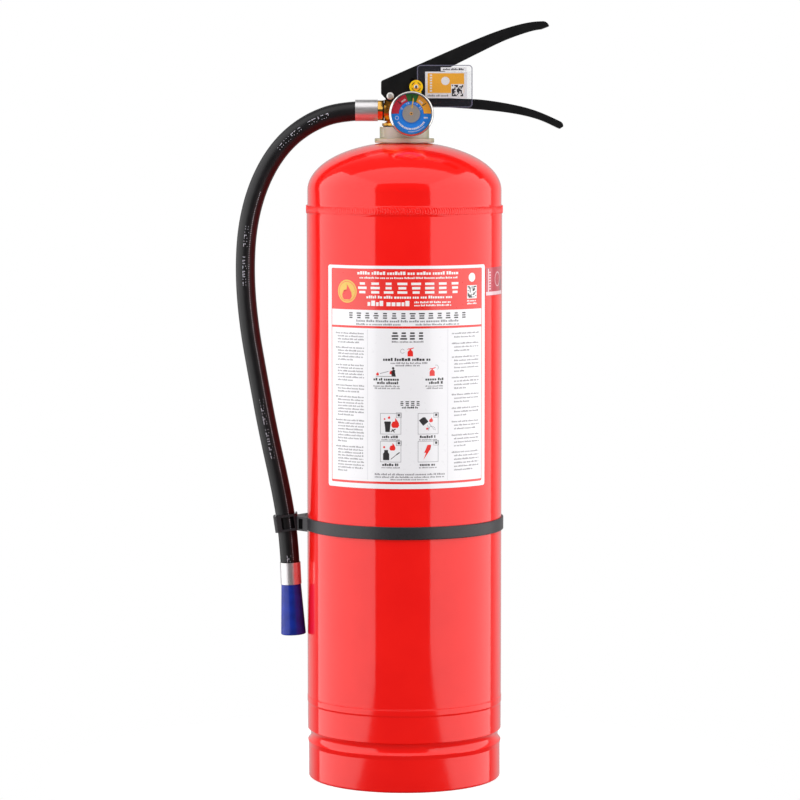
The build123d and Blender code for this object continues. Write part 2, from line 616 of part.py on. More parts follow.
with BuildPart() as gauge_bezel:
    with BuildSketch(Plane.XY):
        with BuildLine():
            Polyline(
                (CASE_R, BEZEL_Y[0]), (BEZEL_R, BEZEL_Y[0]), (BEZEL_R, BEZEL_Y[1] + 1.2),
            )
            RadiusArc((BEZEL_R, BEZEL_Y[1] + 1.2), (BEZEL_R - 1.2, BEZEL_Y[1]), -1.2)
            Polyline(
                (BEZEL_R - 1.2, BEZEL_Y[1]), (DIAL_R, BEZEL_Y[1] + 0.2), (DIAL_R, LENS_Y[1]),
                (CASE_R, LENS_Y[1]), (CASE_R, BEZEL_Y[0]),
            )
        make_face()
    revolve(axis=Axis.Y)
turned(gauge_bezel, "gauge_bezel")

with BuildPart() as gauge_lens:
    with BuildSketch(Plane.XZ.offset(-LENS_Y[0])):
        Circle(CASE_R - 0.05)
    extrude(amount=LENS_Y[0] - LENS_Y[1])
turned(gauge_lens, "gauge_lens")

with BuildPart() as gauge_dial:
    with BuildSketch(Plane.XZ.offset(-DIAL_Y)):
        Circle(DIAL_R)
        Circle(ARBOR_R + 0.4, mode=Mode.SUBTRACT)
    extrude(amount=DIAL_T)
turned(gauge_dial, "gauge_dial")

# The needle is one piece with the round hub plate and the arbor behind it.
with BuildPart() as gauge_pointer:
    with BuildSketch(Plane.XZ.offset(-DIAL_Y + 1.1)):
        Circle(HUB_R)
    extrude(amount=HUB_T)
    lean = math.radians(NEEDLE_DEG)
    with BuildSketch(Plane.XZ.offset(-DIAL_Y + 1.1 + HUB_T)):
        with Locations(Location((8.6 * math.sin(lean), 8.6 * math.cos(lean)), -NEEDLE_DEG)):
            Rectangle(0.9, 8.0)
    extrude(amount=0.3)
    with BuildSketch(Plane.XZ.offset(-DIAL_Y - 1.0)):
        Circle(ARBOR_R)
    extrude(amount=3.4)
turned(gauge_pointer, "gauge_pointer")

# Flat tube wound into a spiral of half circles, each a little wider than the last.
COIL_Y = (-22.0, -25.6)
COIL_STEP = 0.95
with BuildPart() as bourdon_coil:
    with BuildSketch(Plane.XZ.offset(-COIL_Y[0])):
        with BuildLine():
            at, side, radius = 3.0, 1, 3.0
            for turn in range(9):
                middle = at - side * radius
                CenterArc((middle, 0), radius, 0 if side > 0 else 180, 180)
                at = middle - side * radius
                side = -side
                radius += COIL_STEP
        trace(line_width=0.7)
    extrude(amount=COIL_Y[0] - COIL_Y[1])
turned(bourdon_coil, "bourdon_coil")

# ---- hose line -------------------------------------------------------------------------------
NUT_X, NUT_R = (-21.6, -17.8), 8.8
FERRULE_X, FERRULE_R = (-40.1, -21.7), 8.75
with BuildPart() as hose_nut:
    with BuildSketch(Plane.YZ.offset(NUT_X[0])):
        with Locations((0, PORT_Z)):
            RegularPolygon(9.3, 6)
            Circle(OUTLET_THREAD_R - 0.05, mode=Mode.SUBTRACT)
    extrude(amount=NUT_X[1] - NUT_X[0])
    with BuildSketch(Plane.YZ.offset(NUT_X[0])):
        with Locations((0, PORT_Z)):
            Circle(20)
            Circle(NUT_R, mode=Mode.SUBTRACT)
    extrude(amount=NUT_X[1] - NUT_X[0], mode=Mode.SUBTRACT)
save(hose_nut, "hose_nut")

OUTLET_RING_X = (-17.8, -16.7)
with BuildPart() as outlet_oring:
    with BuildSketch(Plane.YZ.offset(OUTLET_RING_X[0])):
        with Locations((0, PORT_Z)):
            Circle(8.3)
            Circle(OUTLET_THREAD_R + 0.1, mode=Mode.SUBTRACT)
    extrude(amount=OUTLET_RING_X[1] - OUTLET_RING_X[0])
save(outlet_oring, "outlet_oring")

# Brass tail: thread in the valve, passage through the nut, barb in the hose.
BARB_END_X = -36.0
with BuildPart() as hose_tail:
    with BuildSketch(Plane.YZ.offset(BARB_END_X)):
        with Locations((0, PORT_Z)):
            Circle(HOSE_BORE_R)
    extrude(amount=FERRULE_X[1] - BARB_END_X)
    with BuildSketch(Plane.YZ.offset(FERRULE_X[1])):
        with Locations((0, PORT_Z)):
            Circle(OUTLET_THREAD_R - 0.05)
    extrude(amount=-8.6 - FERRULE_X[1])
    with BuildSketch(Plane.YZ.offset(FERRULE_X[0])):
        with Locations((0, PORT_Z)):
            Circle(PASSAGE_R)
    extrude(amount=40, mode=Mode.SUBTRACT)
save(hose_tail, "hose_tail")

# The hose's own route, from the middle of the upper ferrule to the middle of the lower one.
HOSE_ROUTE = [
    (-22.0, 548.8),
    (-50.0, 548.8),
    (-77.5, 539.4),
    (-101.0, 520.5),
    (-118.5, 491.5),
    (-128.6, 456.0),
    (-131.0, 416.0),
    (-127.8, 374.0),
    (-120.0, 329.0),
    (-112.0, 285.0),
    (-101.6, 238.0),
    (-95.2, 198.0),
    (-93.7, 164.0),
]


def arc_radii(points):
    """The largest tangent arc for each corner of the route: 0.45 of the shorter run over tan(turn / 2)."""
    radii = []
    for before, corner, after in zip(points, points[1:], points[2:]):
        run_in = Vector(*corner) - Vector(*before)
        run_out = Vector(*after) - Vector(*corner)
        turn = math.radians(run_in.get_angle(run_out))
        radii.append(0.45 * min(run_in.length, run_out.length) / math.tan(turn / 2))
    return radii


route = [(x, 0, z) for x, z in HOSE_ROUTE]
radii = arc_radii(route)
print("hose arc radii", [round(r) for r in radii])
with BuildPart() as hose:
    with BuildLine() as hose_line:
        FilletPolyline(*route, radius=radii)
    with BuildSketch(Plane(origin=route[0], z_dir=hose_line.line % 0)):
        Circle(HOSE_R)
        Circle(HOSE_BORE_R, mode=Mode.SUBTRACT)
    sweep()
save(hose, "hose")
hose_length = hose_line.wires()[0].length
hose_section = math.pi * (HOSE_R**2 - HOSE_BORE_R**2)
print("hose length", round(hose_length, 1), "volume", round(hose.part.volume / hose_section / hose_length, 4))

with BuildPart() as upper_ferrule:
    with BuildSketch(Plane.YZ.offset(FERRULE_X[0])):
        with Locations((0, PORT_Z)):
            Circle(FERRULE_R)
            Circle(HOSE_R + 0.1, mode=Mode.SUBTRACT)
    extrude(amount=FERRULE_X[1] - FERRULE_X[0])
save(upper_ferrule, "upper_ferrule")

# The lower fittings are turned about the line of the hose's last run.
end, before = Vector(*route[-1]), Vector(*route[-2])
down = (end - before).normalized()
end_plane = Plane(origin=end, x_dir=(0, 1, 0), z_dir=down)
FERRULE_LOW = (-13.4, 4.6)         # along the last run, from the hose's end
NOZZLE_LEN = 41.6
NOZZLE_R = (8.15, 10.3)            # at the ferrule, at the mouth
MOUTH_R = 7.6
with BuildPart() as lower_ferrule:
    with BuildSketch(end_plane.offset(FERRULE_LOW[0])):
        Circle(8.5)
    with BuildSketch(end_plane.offset(FERRULE_LOW[1])):
        Circle(8.65)
    loft()
    with BuildSketch(end_plane.offset(FERRULE_LOW[0])):
        Circle(HOSE_R + 0.1)
    extrude(amount=FERRULE_LOW[1] - FERRULE_LOW[0], mode=Mode.SUBTRACT)
save(lower_ferrule, "lower_ferrule")

with BuildPart() as nozzle:
    with BuildSketch(end_plane.offset(FERRULE_LOW[1] + 0.3)):
        Circle(NOZZLE_R[0])
    with BuildSketch(end_plane.offset(FERRULE_LOW[1] + 0.3 + NOZZLE_LEN)):
        Circle(NOZZLE_R[1])
    loft()
    fillet(nozzle.edges().sort_by(Axis.Z)[0], 1.0)
    # collar inside the ferrule and barb inside the hose
    with BuildSketch(end_plane):
        Circle(HOSE_R - 0.2)
    extrude(amount=FERRULE_LOW[1] + 0.4)
    with BuildSketch(end_plane.offset(-12.0)):
        Circle(HOSE_BORE_R)
    extrude(amount=12.0)
    # throat, then a mouth that widens
    with BuildSketch(end_plane.offset(-12.0)):
        Circle(PASSAGE_R)
    extrude(amount=12.0 + FERRULE_LOW[1] + NOZZLE_LEN + 1.0, mode=Mode.SUBTRACT)
    with BuildSketch(end_plane.offset(FERRULE_LOW[1] + 12.0)):
        Circle(PASSAGE_R)
    with BuildSketch(end_plane.offset(FERRULE_LOW[1] + 0.3 + NOZZLE_LEN)):
        Circle(MOUTH_R)
    loft(mode=Mode.SUBTRACT)
save(nozzle, "nozzle")

# ---- strap and clip --------------------------------------------------------------------------
with BuildPart() as hose_strap:
    with BuildSketch(Plane.XZ):
        ring_profile(SHELL_R + 0.05, STRAP_R, *STRAP_Z)
    revolve(axis=Axis.Z)
    fillet(hose_strap.edges().filter_by(GeomType.CIRCLE).sort_by(SortBy.RADIUS)[-2:], 0.5)
save(hose_strap, "hose_strap")

# The clip is a loop square to the hose and open at the back, with a window in its front, on a saddle that
# takes the strap.
CLIP_MID = (-97.3, 0, 210.6)
CLIP_LEAN = math.radians(8.4)      # lean of the hose where the clip holds it
CLIP_TALL = 13.6
CLIP_GAP = 0.5                     # between hose and clip
CLIP_WALL = 1.5
CLIP_OPEN_Y = 7.0
clip_half = HOSE_R + CLIP_GAP + CLIP_WALL
clip_plane = Plane(
    origin=CLIP_MID,
    x_dir=(math.cos(CLIP_LEAN), 0, math.sin(CLIP_LEAN)),
    z_dir=(-math.sin(CLIP_LEAN), 0, math.cos(CLIP_LEAN)),
)
with BuildPart() as hose_clip:
    with BuildSketch(clip_plane.offset(-CLIP_TALL / 2)):
        with Locations((0, (CLIP_OPEN_Y - clip_half) / 2)):
            RectangleRounded(2 * clip_half, clip_half + CLIP_OPEN_Y, 3.4)
    extrude(amount=CLIP_TALL)
    # saddle between the loop and the strap, cut back to the strap's radius
    saddle_x = CLIP_MID[0] + clip_half - 1.2
    with BuildSketch(Plane.XY.offset(CLIP_MID[2] - CLIP_TALL / 2 + 1.0)):
        with BuildLine():
            Polyline(
                (saddle_x, -9.0), (-80.5, -17.5), (-77.0, -22.0), (-70.0, -22.0),
                (-70.0, 16.0), (-80.5, 16.0),
                (saddle_x, 5.0), close=True,
            )
        make_face()
        Circle(STRAP_R + 0.02, mode=Mode.SUBTRACT)
    extrude(amount=CLIP_TALL - 2.0)
    # the second cell, seen from the front between the loop and the strap
    with BuildSketch(Plane.XZ.offset(30.0)):
        with Locations((-85.2, CLIP_MID[2])):
            Rectangle(3.4, CLIP_TALL - 5.0)
    extrude(amount=-24.0, mode=Mode.SUBTRACT)
    # room for the hose, open at the back
    with BuildSketch(clip_plane.offset(-CLIP_TALL)):
        with Locations((0, 10.0)):
            Rectangle(2 * (HOSE_R + CLIP_GAP), 20.0 + 2 * (HOSE_R + CLIP_GAP - 3.0))
        with Locations((0, -(HOSE_R + CLIP_GAP) / 2)):
            RectangleRounded(2 * (HOSE_R + CLIP_GAP), HOSE_R + CLIP_GAP, 2.4)
    extrude(amount=2 * CLIP_TALL, mode=Mode.SUBTRACT)
    # window in the front wall
    with BuildSketch(Plane(origin=CLIP_MID, x_dir=clip_plane.x_dir, z_dir=(0, -1, 0))):
        with Locations((1.6, 0)):
            Rectangle(10.6, CLIP_TALL - 3.6)
    extrude(amount=20.0, mode=Mode.SUBTRACT)
save(hose_clip, "hose_clip")

# ---- labels ----------------------------------------------------------------------------------
# Thin sheets stuck on the shell: name, middle and half width in degrees from straight ahead, heights, and the
# radius of the corners.
LABELS = [
    ("main_label", LABEL_MID_DEG, LABEL_HALF_DEG, *LABEL_Z, 2.0),
    ("side_label", 67.6, 12.8, 399.6, 422.4, 0.6),
]
for label_name, mid_deg, half_deg, z_low, z_high, corner_r in LABELS:
    with BuildPart() as label_sheet:
        with BuildSketch(Plane.XY.offset(z_low)):
            with BuildLine():
                first = -90 + mid_deg - half_deg
                inner_arc = CenterArc((0, 0), SHELL_R + 0.02, first, 2 * half_deg)
                outer_arc = CenterArc((0, 0), SHELL_R + 0.02 + PAPER, first, 2 * half_deg)
                Line(inner_arc @ 0, outer_arc @ 0)
                Line(inner_arc @ 1, outer_arc @ 1)
            make_face()
        extrude(amount=z_high - z_low)
        # the four shortest edges run through the sheet at its corners
        fillet(label_sheet.edges().sort_by(SortBy.LENGTH)[:4], corner_r)
    save(label_sheet, label_name)
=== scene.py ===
"""Looks of a portable powder fire extinguisher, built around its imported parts.

Sizes are in millimetres and turned to metres by MM. The frame is the parts' own: +Z up, the front at -Y, the
levers' tips at +X and the hose at -X.
"""
import math
import random

import bmesh
import bpy
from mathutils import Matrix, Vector


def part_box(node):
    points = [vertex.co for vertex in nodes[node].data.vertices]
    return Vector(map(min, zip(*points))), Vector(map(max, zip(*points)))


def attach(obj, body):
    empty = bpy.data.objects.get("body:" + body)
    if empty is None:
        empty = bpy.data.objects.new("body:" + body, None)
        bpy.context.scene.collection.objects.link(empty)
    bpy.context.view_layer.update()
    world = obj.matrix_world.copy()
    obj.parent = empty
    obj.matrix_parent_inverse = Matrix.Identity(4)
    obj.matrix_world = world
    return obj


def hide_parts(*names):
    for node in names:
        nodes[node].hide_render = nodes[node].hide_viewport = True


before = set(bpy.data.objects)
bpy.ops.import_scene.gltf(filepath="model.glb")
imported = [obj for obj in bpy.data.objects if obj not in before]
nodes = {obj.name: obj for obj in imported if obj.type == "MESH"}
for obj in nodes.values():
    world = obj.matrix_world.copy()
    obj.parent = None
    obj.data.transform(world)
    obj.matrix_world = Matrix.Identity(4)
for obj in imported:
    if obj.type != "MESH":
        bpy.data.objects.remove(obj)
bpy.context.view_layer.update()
MM = 0.001


# ---- small helpers -------------------------------------------------------------------------------

def linear(colour):
    """Turns an sRGB hex colour to linear red, green, blue and an alpha of 1."""
    parts = [int(colour[i:i + 2], 16) / 255 for i in (1, 3, 5)]
    return tuple(c / 12.92 if c <= 0.04045 else ((c + 0.055) / 1.055) ** 2.4 for c in parts) + (1.0,)


def add(tree, kind, inputs=None, **settings):
    """Adds a node. Settings are its own properties, and inputs give its sockets a value or the socket of
    another node."""
    node = tree.nodes.new(kind)
    for name, value in settings.items():
        setattr(node, name, value)
    for name, value in (inputs or {}).items():
        if isinstance(value, bpy.types.NodeSocket):
            tree.links.new(value, node.inputs[name])
        else:
            node.inputs[name].default_value = value
    return node


def per(mm):
    """Noise scale that gives features about this many millimetres across."""
    return 1 / (mm * MM)


def bands(mm):
    """Wave scale that gives one band in this many millimetres."""
    return math.pi / 10 / (mm * MM)


def new_finish(name, colour, roughness, **sockets):
    """A material with its plain values on the shader's own sockets."""
    material = bpy.data.materials.new(name)
    material.use_nodes = True
    shader = material.node_tree.nodes["Principled BSDF"]
    shader.inputs["Base Color"].default_value = linear(colour)
    shader.inputs["Roughness"].default_value = roughness
    for socket, value in sockets.items():
        shader.inputs[socket.replace("_", " ")].default_value = value
    return material, material.node_tree, shader


def grain(tree, shader, size, depth, stretch=(1, 1, 1), detail=2.0):
    """A fine uneven surface: noise features size mm across that stand depth mm proud."""
    coordinate = add(tree, "ShaderNodeTexCoord")
    mapping = add(tree, "ShaderNodeMapping", {"Vector": coordinate.outputs["Object"], "Scale": stretch})
    noise = add(tree, "ShaderNodeTexNoise",
                {"Vector": mapping.outputs["Vector"], "Scale": per(size), "Detail": detail})
    bump = add(tree, "ShaderNodeBump", {"Height": noise.outputs["Fac"], "Distance": depth * MM})
    tree.links.new(bump.outputs["Normal"], shader.inputs["Normal"])
    return mapping, noise, bump


def mottle(tree, shader, source, first, second, low=0.35, high=0.65):
    """Colour that drifts between two shades where the source goes from low to high."""
    ramp = add(tree, "ShaderNodeMapRange", {"Value": source, "From Min": low, "From Max": high})
    mix = add(tree, "ShaderNodeMix", {"Factor": ramp.outputs["Result"]}, data_type="RGBA")
    mix.inputs[6].default_value = linear(first)
    mix.inputs[7].default_value = linear(second)
    tree.links.new(mix.outputs[2], shader.inputs["Base Color"])


def vary_roughness(tree, shader, source, low, high):
    """Roughness that follows the source, as handling and polishing leave it."""
    ramp = add(tree, "ShaderNodeMapRange",
               {"Value": source, "From Min": 0.3, "From Max": 0.7, "To Min": low, "To Max": high})
    tree.links.new(ramp.outputs["Result"], shader.inputs["Roughness"])


# ---- finishes ------------------------------------------------------------------------------------

def sprayed_enamel():
    # Stoving enamel sprayed on steel: a hard gloss over a saturated red, with a faint orange peel.
    material, tree, shader = new_finish("sprayed_red_enamel", "#fa110a", 0.34, Specular_IOR_Level=0.05,
                                        Coat_Weight=1.0, Coat_Roughness=0.08, Coat_IOR=1.5)
    mapping, _, bump = grain(tree, shader, 2.6, 0.004)
    tree.links.new(bump.outputs["Normal"], shader.inputs["Coat Normal"])
    slow = add(tree, "ShaderNodeTexNoise", {"Vector": mapping.outputs["Vector"], "Scale": per(30)})
    mottle(tree, shader, slow.outputs["Fac"], "#f80f09", "#fc130b")
    return material


def forged_brass():
    # Hot-forged brass: warm metal with a slightly grainy skin and darker, oxidised drifts.
    material, tree, shader = new_finish("forged_brass", "#d49a3c", 0.26, Metallic=1.0)
    mapping, _, _ = grain(tree, shader, 0.7, 0.012)
    slow = add(tree, "ShaderNodeTexNoise", {"Vector": mapping.outputs["Vector"], "Scale": per(5)})
    mottle(tree, shader, slow.outputs["Fac"], "#c58a32", "#e2ab4d")
    vary_roughness(tree, shader, slow.outputs["Fac"], 0.2, 0.34)
    return material


def turned_brass():
    # Bar brass turned on a lathe: bright, with fine tool lines round its axis.
    material, tree, shader = new_finish("turned_brass", "#dca94f", 0.16, Metallic=1.0)
    _, noise, _ = grain(tree, shader, 2.0, 0.01, stretch=(12, 1, 1))
    mottle(tree, shader, noise.outputs["Fac"], "#d29c44", "#e6b560")
    return material


def plated_steel():
    # Bright zinc plate on drawn steel: pale, clean metal with a slight bloom.
    material, tree, shader = new_finish("zinc_plated_steel", "#cfcecb", 0.2, Metallic=1.0)
    _, noise, _ = grain(tree, shader, 1.2, 0.004)
    vary_roughness(tree, shader, noise.outputs["Fac"], 0.14, 0.28)
    return material


def rivet_steel():
    # A rivet headed cold and then zinc plated: pale, with the soft gloss that the hammer leaves.
    material, tree, shader = new_finish("headed_rivet_steel", "#dcdad7", 0.4, Metallic=0.7)
    _, noise, _ = grain(tree, shader, 0.8, 0.01)
    vary_roughness(tree, shader, noise.outputs["Fac"], 0.34, 0.46)
    return material


def polished_chrome():
    # Polished chrome plate: mirror-like, with faint handling marks in its gloss.
    material, tree, shader = new_finish("polished_chrome", "#dedbd8", 0.08, Metallic=1.0)
    _, noise, _ = grain(tree, shader, 3.0, 0.002)
    vary_roughness(tree, shader, noise.outputs["Fac"], 0.05, 0.14)
    return material


def drawn_aluminium(name, stretch):
    # Aluminium sleeve drawn through a die, then swaged: bright, with hair lines along its axis.
    material, tree, shader = new_finish(name, "#e2dfe0", 0.34, Metallic=0.85)
    _, noise, _ = grain(tree, shader, 0.45, 0.004, stretch=stretch, detail=4.0)
    vary_roughness(tree, shader, noise.outputs["Fac"], 0.26, 0.42)
    return material


def brushed_hub():
    # Aluminium plate brushed across: soft pale metal whose gloss is broken by the brushing.
    material, tree, shader = new_finish("brushed_aluminium", "#c2bcb6", 0.44, Metallic=0.75)
    grain(tree, shader, 0.3, 0.006, stretch=(0.15, 1, 1), detail=4.0)
    return material


def turned_steel():
    # Plain carbon steel off the lathe: grey metal with tool lines.
    material, tree, shader = new_finish("turned_steel", "#a3a19f", 0.3, Metallic=1.0)
    grain(tree, shader, 1.5, 0.01, stretch=(1, 1, 10))
    return material


def spring_wire():
    # Hard-drawn spring wire: darker grey steel, drawn smooth.
    material, tree, shader = new_finish("spring_wire", "#8d8c8b", 0.28, Metallic=1.0)
    grain(tree, shader, 0.5, 0.004)
    return material


def powder_coat():
    # Black powder coat on stamped steel: satin, very slightly pebbled, with a thin clear gloss.
    material, tree, shader = new_finish("black_powder_coat", "#08080a", 0.4, Specular_IOR_Level=0.3,
                                        Coat_Weight=0.2, Coat_Roughness=0.22)
    mapping, _, _ = grain(tree, shader, 0.8, 0.012)
    slow = add(tree, "ShaderNodeTexNoise", {"Vector": mapping.outputs["Vector"], "Scale": per(9)})
    vary_roughness(tree, shader, slow.outputs["Fac"], 0.36, 0.48)
    return material


def collar_nylon():
    # Natural moulded nylon: milky and yellowish, so that what is behind and below tints it.
    material, tree, shader = new_finish("natural_nylon", "#efdcc6", 0.26, IOR=1.53, Subsurface_Weight=0.5,
                                        Subsurface_Scale=0.006, Transmission_Weight=0.5)
    shader.inputs["Subsurface Radius"].default_value = (1.0, 0.8, 0.5)
    grain(tree, shader, 1.6, 0.006)
    # the shift from pinkish face on to yellow-green towards the edges is painted light: it stands in for the
    # tint of what shows through the collar
    edge = add(tree, "ShaderNodeLayerWeight", {"Blend": 0.35})
    mottle(tree, shader, edge.outputs["Facing"], "#f0dccb", "#cfd39a", 0.15, 0.75)
    return material


def seal_rubber():
    # Moulded nitrile rubber: matt black with a dusty bloom.
    material, tree, shader = new_finish("nitrile_rubber", "#151516", 0.6, Specular_IOR_Level=0.4)
    grain(tree, shader, 0.5, 0.01)
    return material


def wrapped_rubber():
    # Rubber hose cured in a wrapping of cloth: black with the cloth's weave pressed into it. The real
    # threads are about 0.5 mm apart; they are drawn at 1.1 mm so that they show.
    material, tree, shader = new_finish("cloth_wrapped_rubber", "#111013", 0.38, Specular_IOR_Level=0.36,
                                        Coat_Weight=0.06, Coat_Roughness=0.3)
    coordinate = add(tree, "ShaderNodeTexCoord")
    weave = []
    for turn in (38, -38):
        mapping = add(tree, "ShaderNodeMapping",
                      {"Vector": coordinate.outputs["UV"], "Rotation": (0, 0, math.radians(turn))})
        wave = add(tree, "ShaderNodeTexWave",
                   {"Vector": mapping.outputs["Vector"], "Scale": bands(1.1), "Distortion": 0.4})
        weave.append(wave.outputs["Fac"])
    cross = add(tree, "ShaderNodeMath", operation="MULTIPLY")
    tree.links.new(weave[0], cross.inputs[0])
    tree.links.new(weave[1], cross.inputs[1])
    bump = add(tree, "ShaderNodeBump", {"Height": cross.outputs[0], "Distance": 0.035 * MM})
    tree.links.new(bump.outputs["Normal"], shader.inputs["Normal"])
    slow = add(tree, "ShaderNodeTexNoise", {"Vector": coordinate.outputs["UV"], "Scale": per(12)})
    mottle(tree, shader, slow.outputs["Fac"], "#0e0d0f", "#161417")
    return material


def blue_polythene():
    # Injection-moulded polythene: saturated royal blue with a soft waxy gloss.
    material, tree, shader = new_finish("moulded_blue_polythene", "#062a9a", 0.32, IOR=1.5,
                                        Specular_IOR_Level=0.3, Coat_Weight=0.2, Coat_Roughness=0.18)
    mapping, _, _ = grain(tree, shader, 1.0, 0.004)
    slow = add(tree, "ShaderNodeTexNoise", {"Vector": mapping.outputs["Vector"], "Scale": per(8)})
    mottle(tree, shader, slow.outputs["Fac"], "#05268f", "#072ea4")
    return material


def yellow_seal_plastic():
    # Soft moulded polythene of a tamper seal: bright yellow that lets a little light in.
    material, tree, shader = new_finish("moulded_yellow_polythene", "#f7cb08", 0.34,
                                        Subsurface_Weight=0.2, Subsurface_Scale=0.002)
    grain(tree, shader, 0.7, 0.006)
    return material


def clear_plastic(name, colour, low, high, roughness):
    # Clear moulded or pressed plastic: seen through face on, greyer and glossier towards its edges.
    material, tree, shader = new_finish(name, colour, roughness, IOR=1.49, Specular_IOR_Level=1.0)
    edge = add(tree, "ShaderNodeLayerWeight", {"Blend": 0.2})
    alpha = add(tree, "ShaderNodeMapRange", {"Value": edge.outputs["Facing"], "To Min": low, "To Max": high})
    # light passes whole, so that what lies behind is lit as brightly as its surroundings
    path = add(tree, "ShaderNodeLightPath")
    cover = add(tree, "ShaderNodeMath", {0: 1.0, 1: path.outputs["Is Shadow Ray"]}, operation="SUBTRACT")
    both = add(tree, "ShaderNodeMath", operation="MULTIPLY")
    tree.links.new(alpha.outputs["Result"], both.inputs[0])
    tree.links.new(cover.outputs[0], both.inputs[1])
    tree.links.new(both.outputs[0], shader.inputs["Alpha"])
    return material


def strap_nylon():
    # Extruded and moulded black nylon: charcoal, satin, with a fine pulled grain.
    material, tree, shader = new_finish("black_nylon", "#2b292c", 0.4, Specular_IOR_Level=0.5)
    _, noise, _ = grain(tree, shader, 0.9, 0.01)
    mottle(tree, shader, noise.outputs["Fac"], "#262427", "#302d31")
    return material


def tube_polypropylene():
    # Extruded natural polypropylene: milky white and waxy.
    material, tree, shader = new_finish("natural_polypropylene", "#e4e1d8", 0.4, Subsurface_Weight=0.3,
                                        Subsurface_Scale=0.003)
    grain(tree, shader, 2.0, 0.01)
    return material


def dry_powder():
    # Fine dry powder: matt, pale and uneven.
    material, tree, shader = new_finish("dry_powder", "#e9e2c8", 0.95, Specular_IOR_Level=0.1)
    _, noise, _ = grain(tree, shader, 1.5, 0.2, detail=6.0)
    mottle(tree, shader, noise.outputs["Fac"], "#dfd7ba", "#f1ebd6")
    return material


def printed(name, colour, roughness=0.32, coat=0.8):
    # Printed film or ink: even colour under a thin clear film, with the slight unevenness of print.
    material, tree, shader = new_finish(name, colour, roughness, Coat_Weight=coat, Coat_Roughness=0.12)
    _, noise, _ = grain(tree, shader, 3.0, 0.003)
    vary_roughness(tree, shader, noise.outputs["Fac"], roughness - 0.05, roughness + 0.06)
    return material


ENAMEL = sprayed_enamel()
FORGED_BRASS = forged_brass()
TURNED_BRASS = turned_brass()
PLATED = plated_steel()
STEEL = turned_steel()
RUBBER = seal_rubber()
BLACK_COAT = powder_coat()
STRAP = strap_nylon()
FILM = printed("white_print_film", "#f4f2f5")
RED_INK = printed("red_ink", "#f0231a")
DARK_INK = printed("charcoal_ink", "#2d2a2c")
GREY_INK = printed("grey_ink", "#918d92")
LINE_INK = printed("pale_grey_ink", "#cfccd2")
GOLD_INK = printed("gold_ink", "#eabb3e")
WHITE_INK = printed("white_ink", "#f8f5f4")
ORANGE_INK = printed("orange_ink", "#ffb524", 0.4, 0.2)
BLUE_INK = printed("blue_ink", "#0084f2", 0.4, 0.2)
GREEN_INK = printed("green_ink", "#1f7a24")
CRIMSON_INK = printed("crimson_ink", "#d21a3a", 0.4, 0.2)
PINK_INK = printed("dark_pink_ink", "#c2243c")

FINISHES = {
    ENAMEL: ("cylinder_shell", "upper_dome", "shoulder_weld", "bottom_dome", "base_ring"),
    FORGED_BRASS: ("valve_body",),
    TURNED_BRASS: ("hose_nut", "hose_tail", "spring_retainer", "gauge_case", "bourdon_coil"),
    PLATED: ("handle_pin", "safety_pin", "pull_ring"),
    rivet_steel(): ("pivot_rivet",),
    STEEL: ("neck_boss", "valve_stem"),
    spring_wire(): ("valve_spring",),
    RUBBER: ("neck_oring", "stem_seal", "stem_oring", "outlet_oring", "gauge_washer"),
    BLACK_COAT: ("squeeze_lever", "carry_handle"),
    collar_nylon(): ("neck_collar",),
    polished_chrome(): ("gauge_bezel",),
    drawn_aluminium("drawn_aluminium", (0.06, 1, 1)): ("upper_ferrule",),
    drawn_aluminium("drawn_aluminium_upright", (1, 1, 0.06)): ("lower_ferrule",),
    brushed_hub(): ("gauge_pointer",),
    blue_polythene(): ("nozzle",),
    yellow_seal_plastic(): ("tamper_seal",),
    clear_plastic("clear_lens", "#8f979d", 0.015, 0.25, 0.03): ("gauge_lens",),
    clear_plastic("clear_styrene", "#6c6b80", 0.05, 0.85, 0.1): ("tag_case",),
    STRAP: ("hose_strap", "hose_clip"),
    tube_polypropylene(): ("dip_tube",),
    dry_powder(): ("powder_charge",),
    FILM: ("main_label", "tag_card"),
    PINK_INK: ("side_label",),
    BLUE_INK: ("gauge_dial",),
}
for material, names in FINISHES.items():
    for name in names:
        nodes[name].material_slots[0].material = material


# ---- new pieces ----------------------------------------------------------------------------------

def new_piece(name, mesh, body):
    """Links a finished mesh as a piece that rides on a body and takes its finish from a slot."""
    piece = bpy.data.objects.new(name, mesh)
    bpy.context.scene.collection.objects.link(piece)
    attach(piece, body)
    return piece


def mesh_of(name, verts, faces, material, smooth=True):
    mesh = bpy.data.meshes.new(name)
    mesh.from_pydata(verts, [], faces)
    mesh.materials.append(material)
    mesh.polygons.foreach_set("use_smooth", [smooth] * len(mesh.polygons))
    return mesh


def turn_outwards(mesh):
    """Turns every face of a closed mesh to point outwards."""
    bm = bmesh.new()
    bm.from_mesh(mesh)
    bmesh.ops.recalc_face_normals(bm, faces=bm.faces)
    bm.to_mesh(mesh)
    bm.free()


def evaluated_mesh(piece):
    """The mesh that a piece's curve or modifiers give."""
    graph = bpy.context.evaluated_depsgraph_get()
    return bpy.data.meshes.new_from_object(piece.evaluated_get(graph))


# ---- pieces repeated along a path, with Geometry Nodes -------------------------------------------

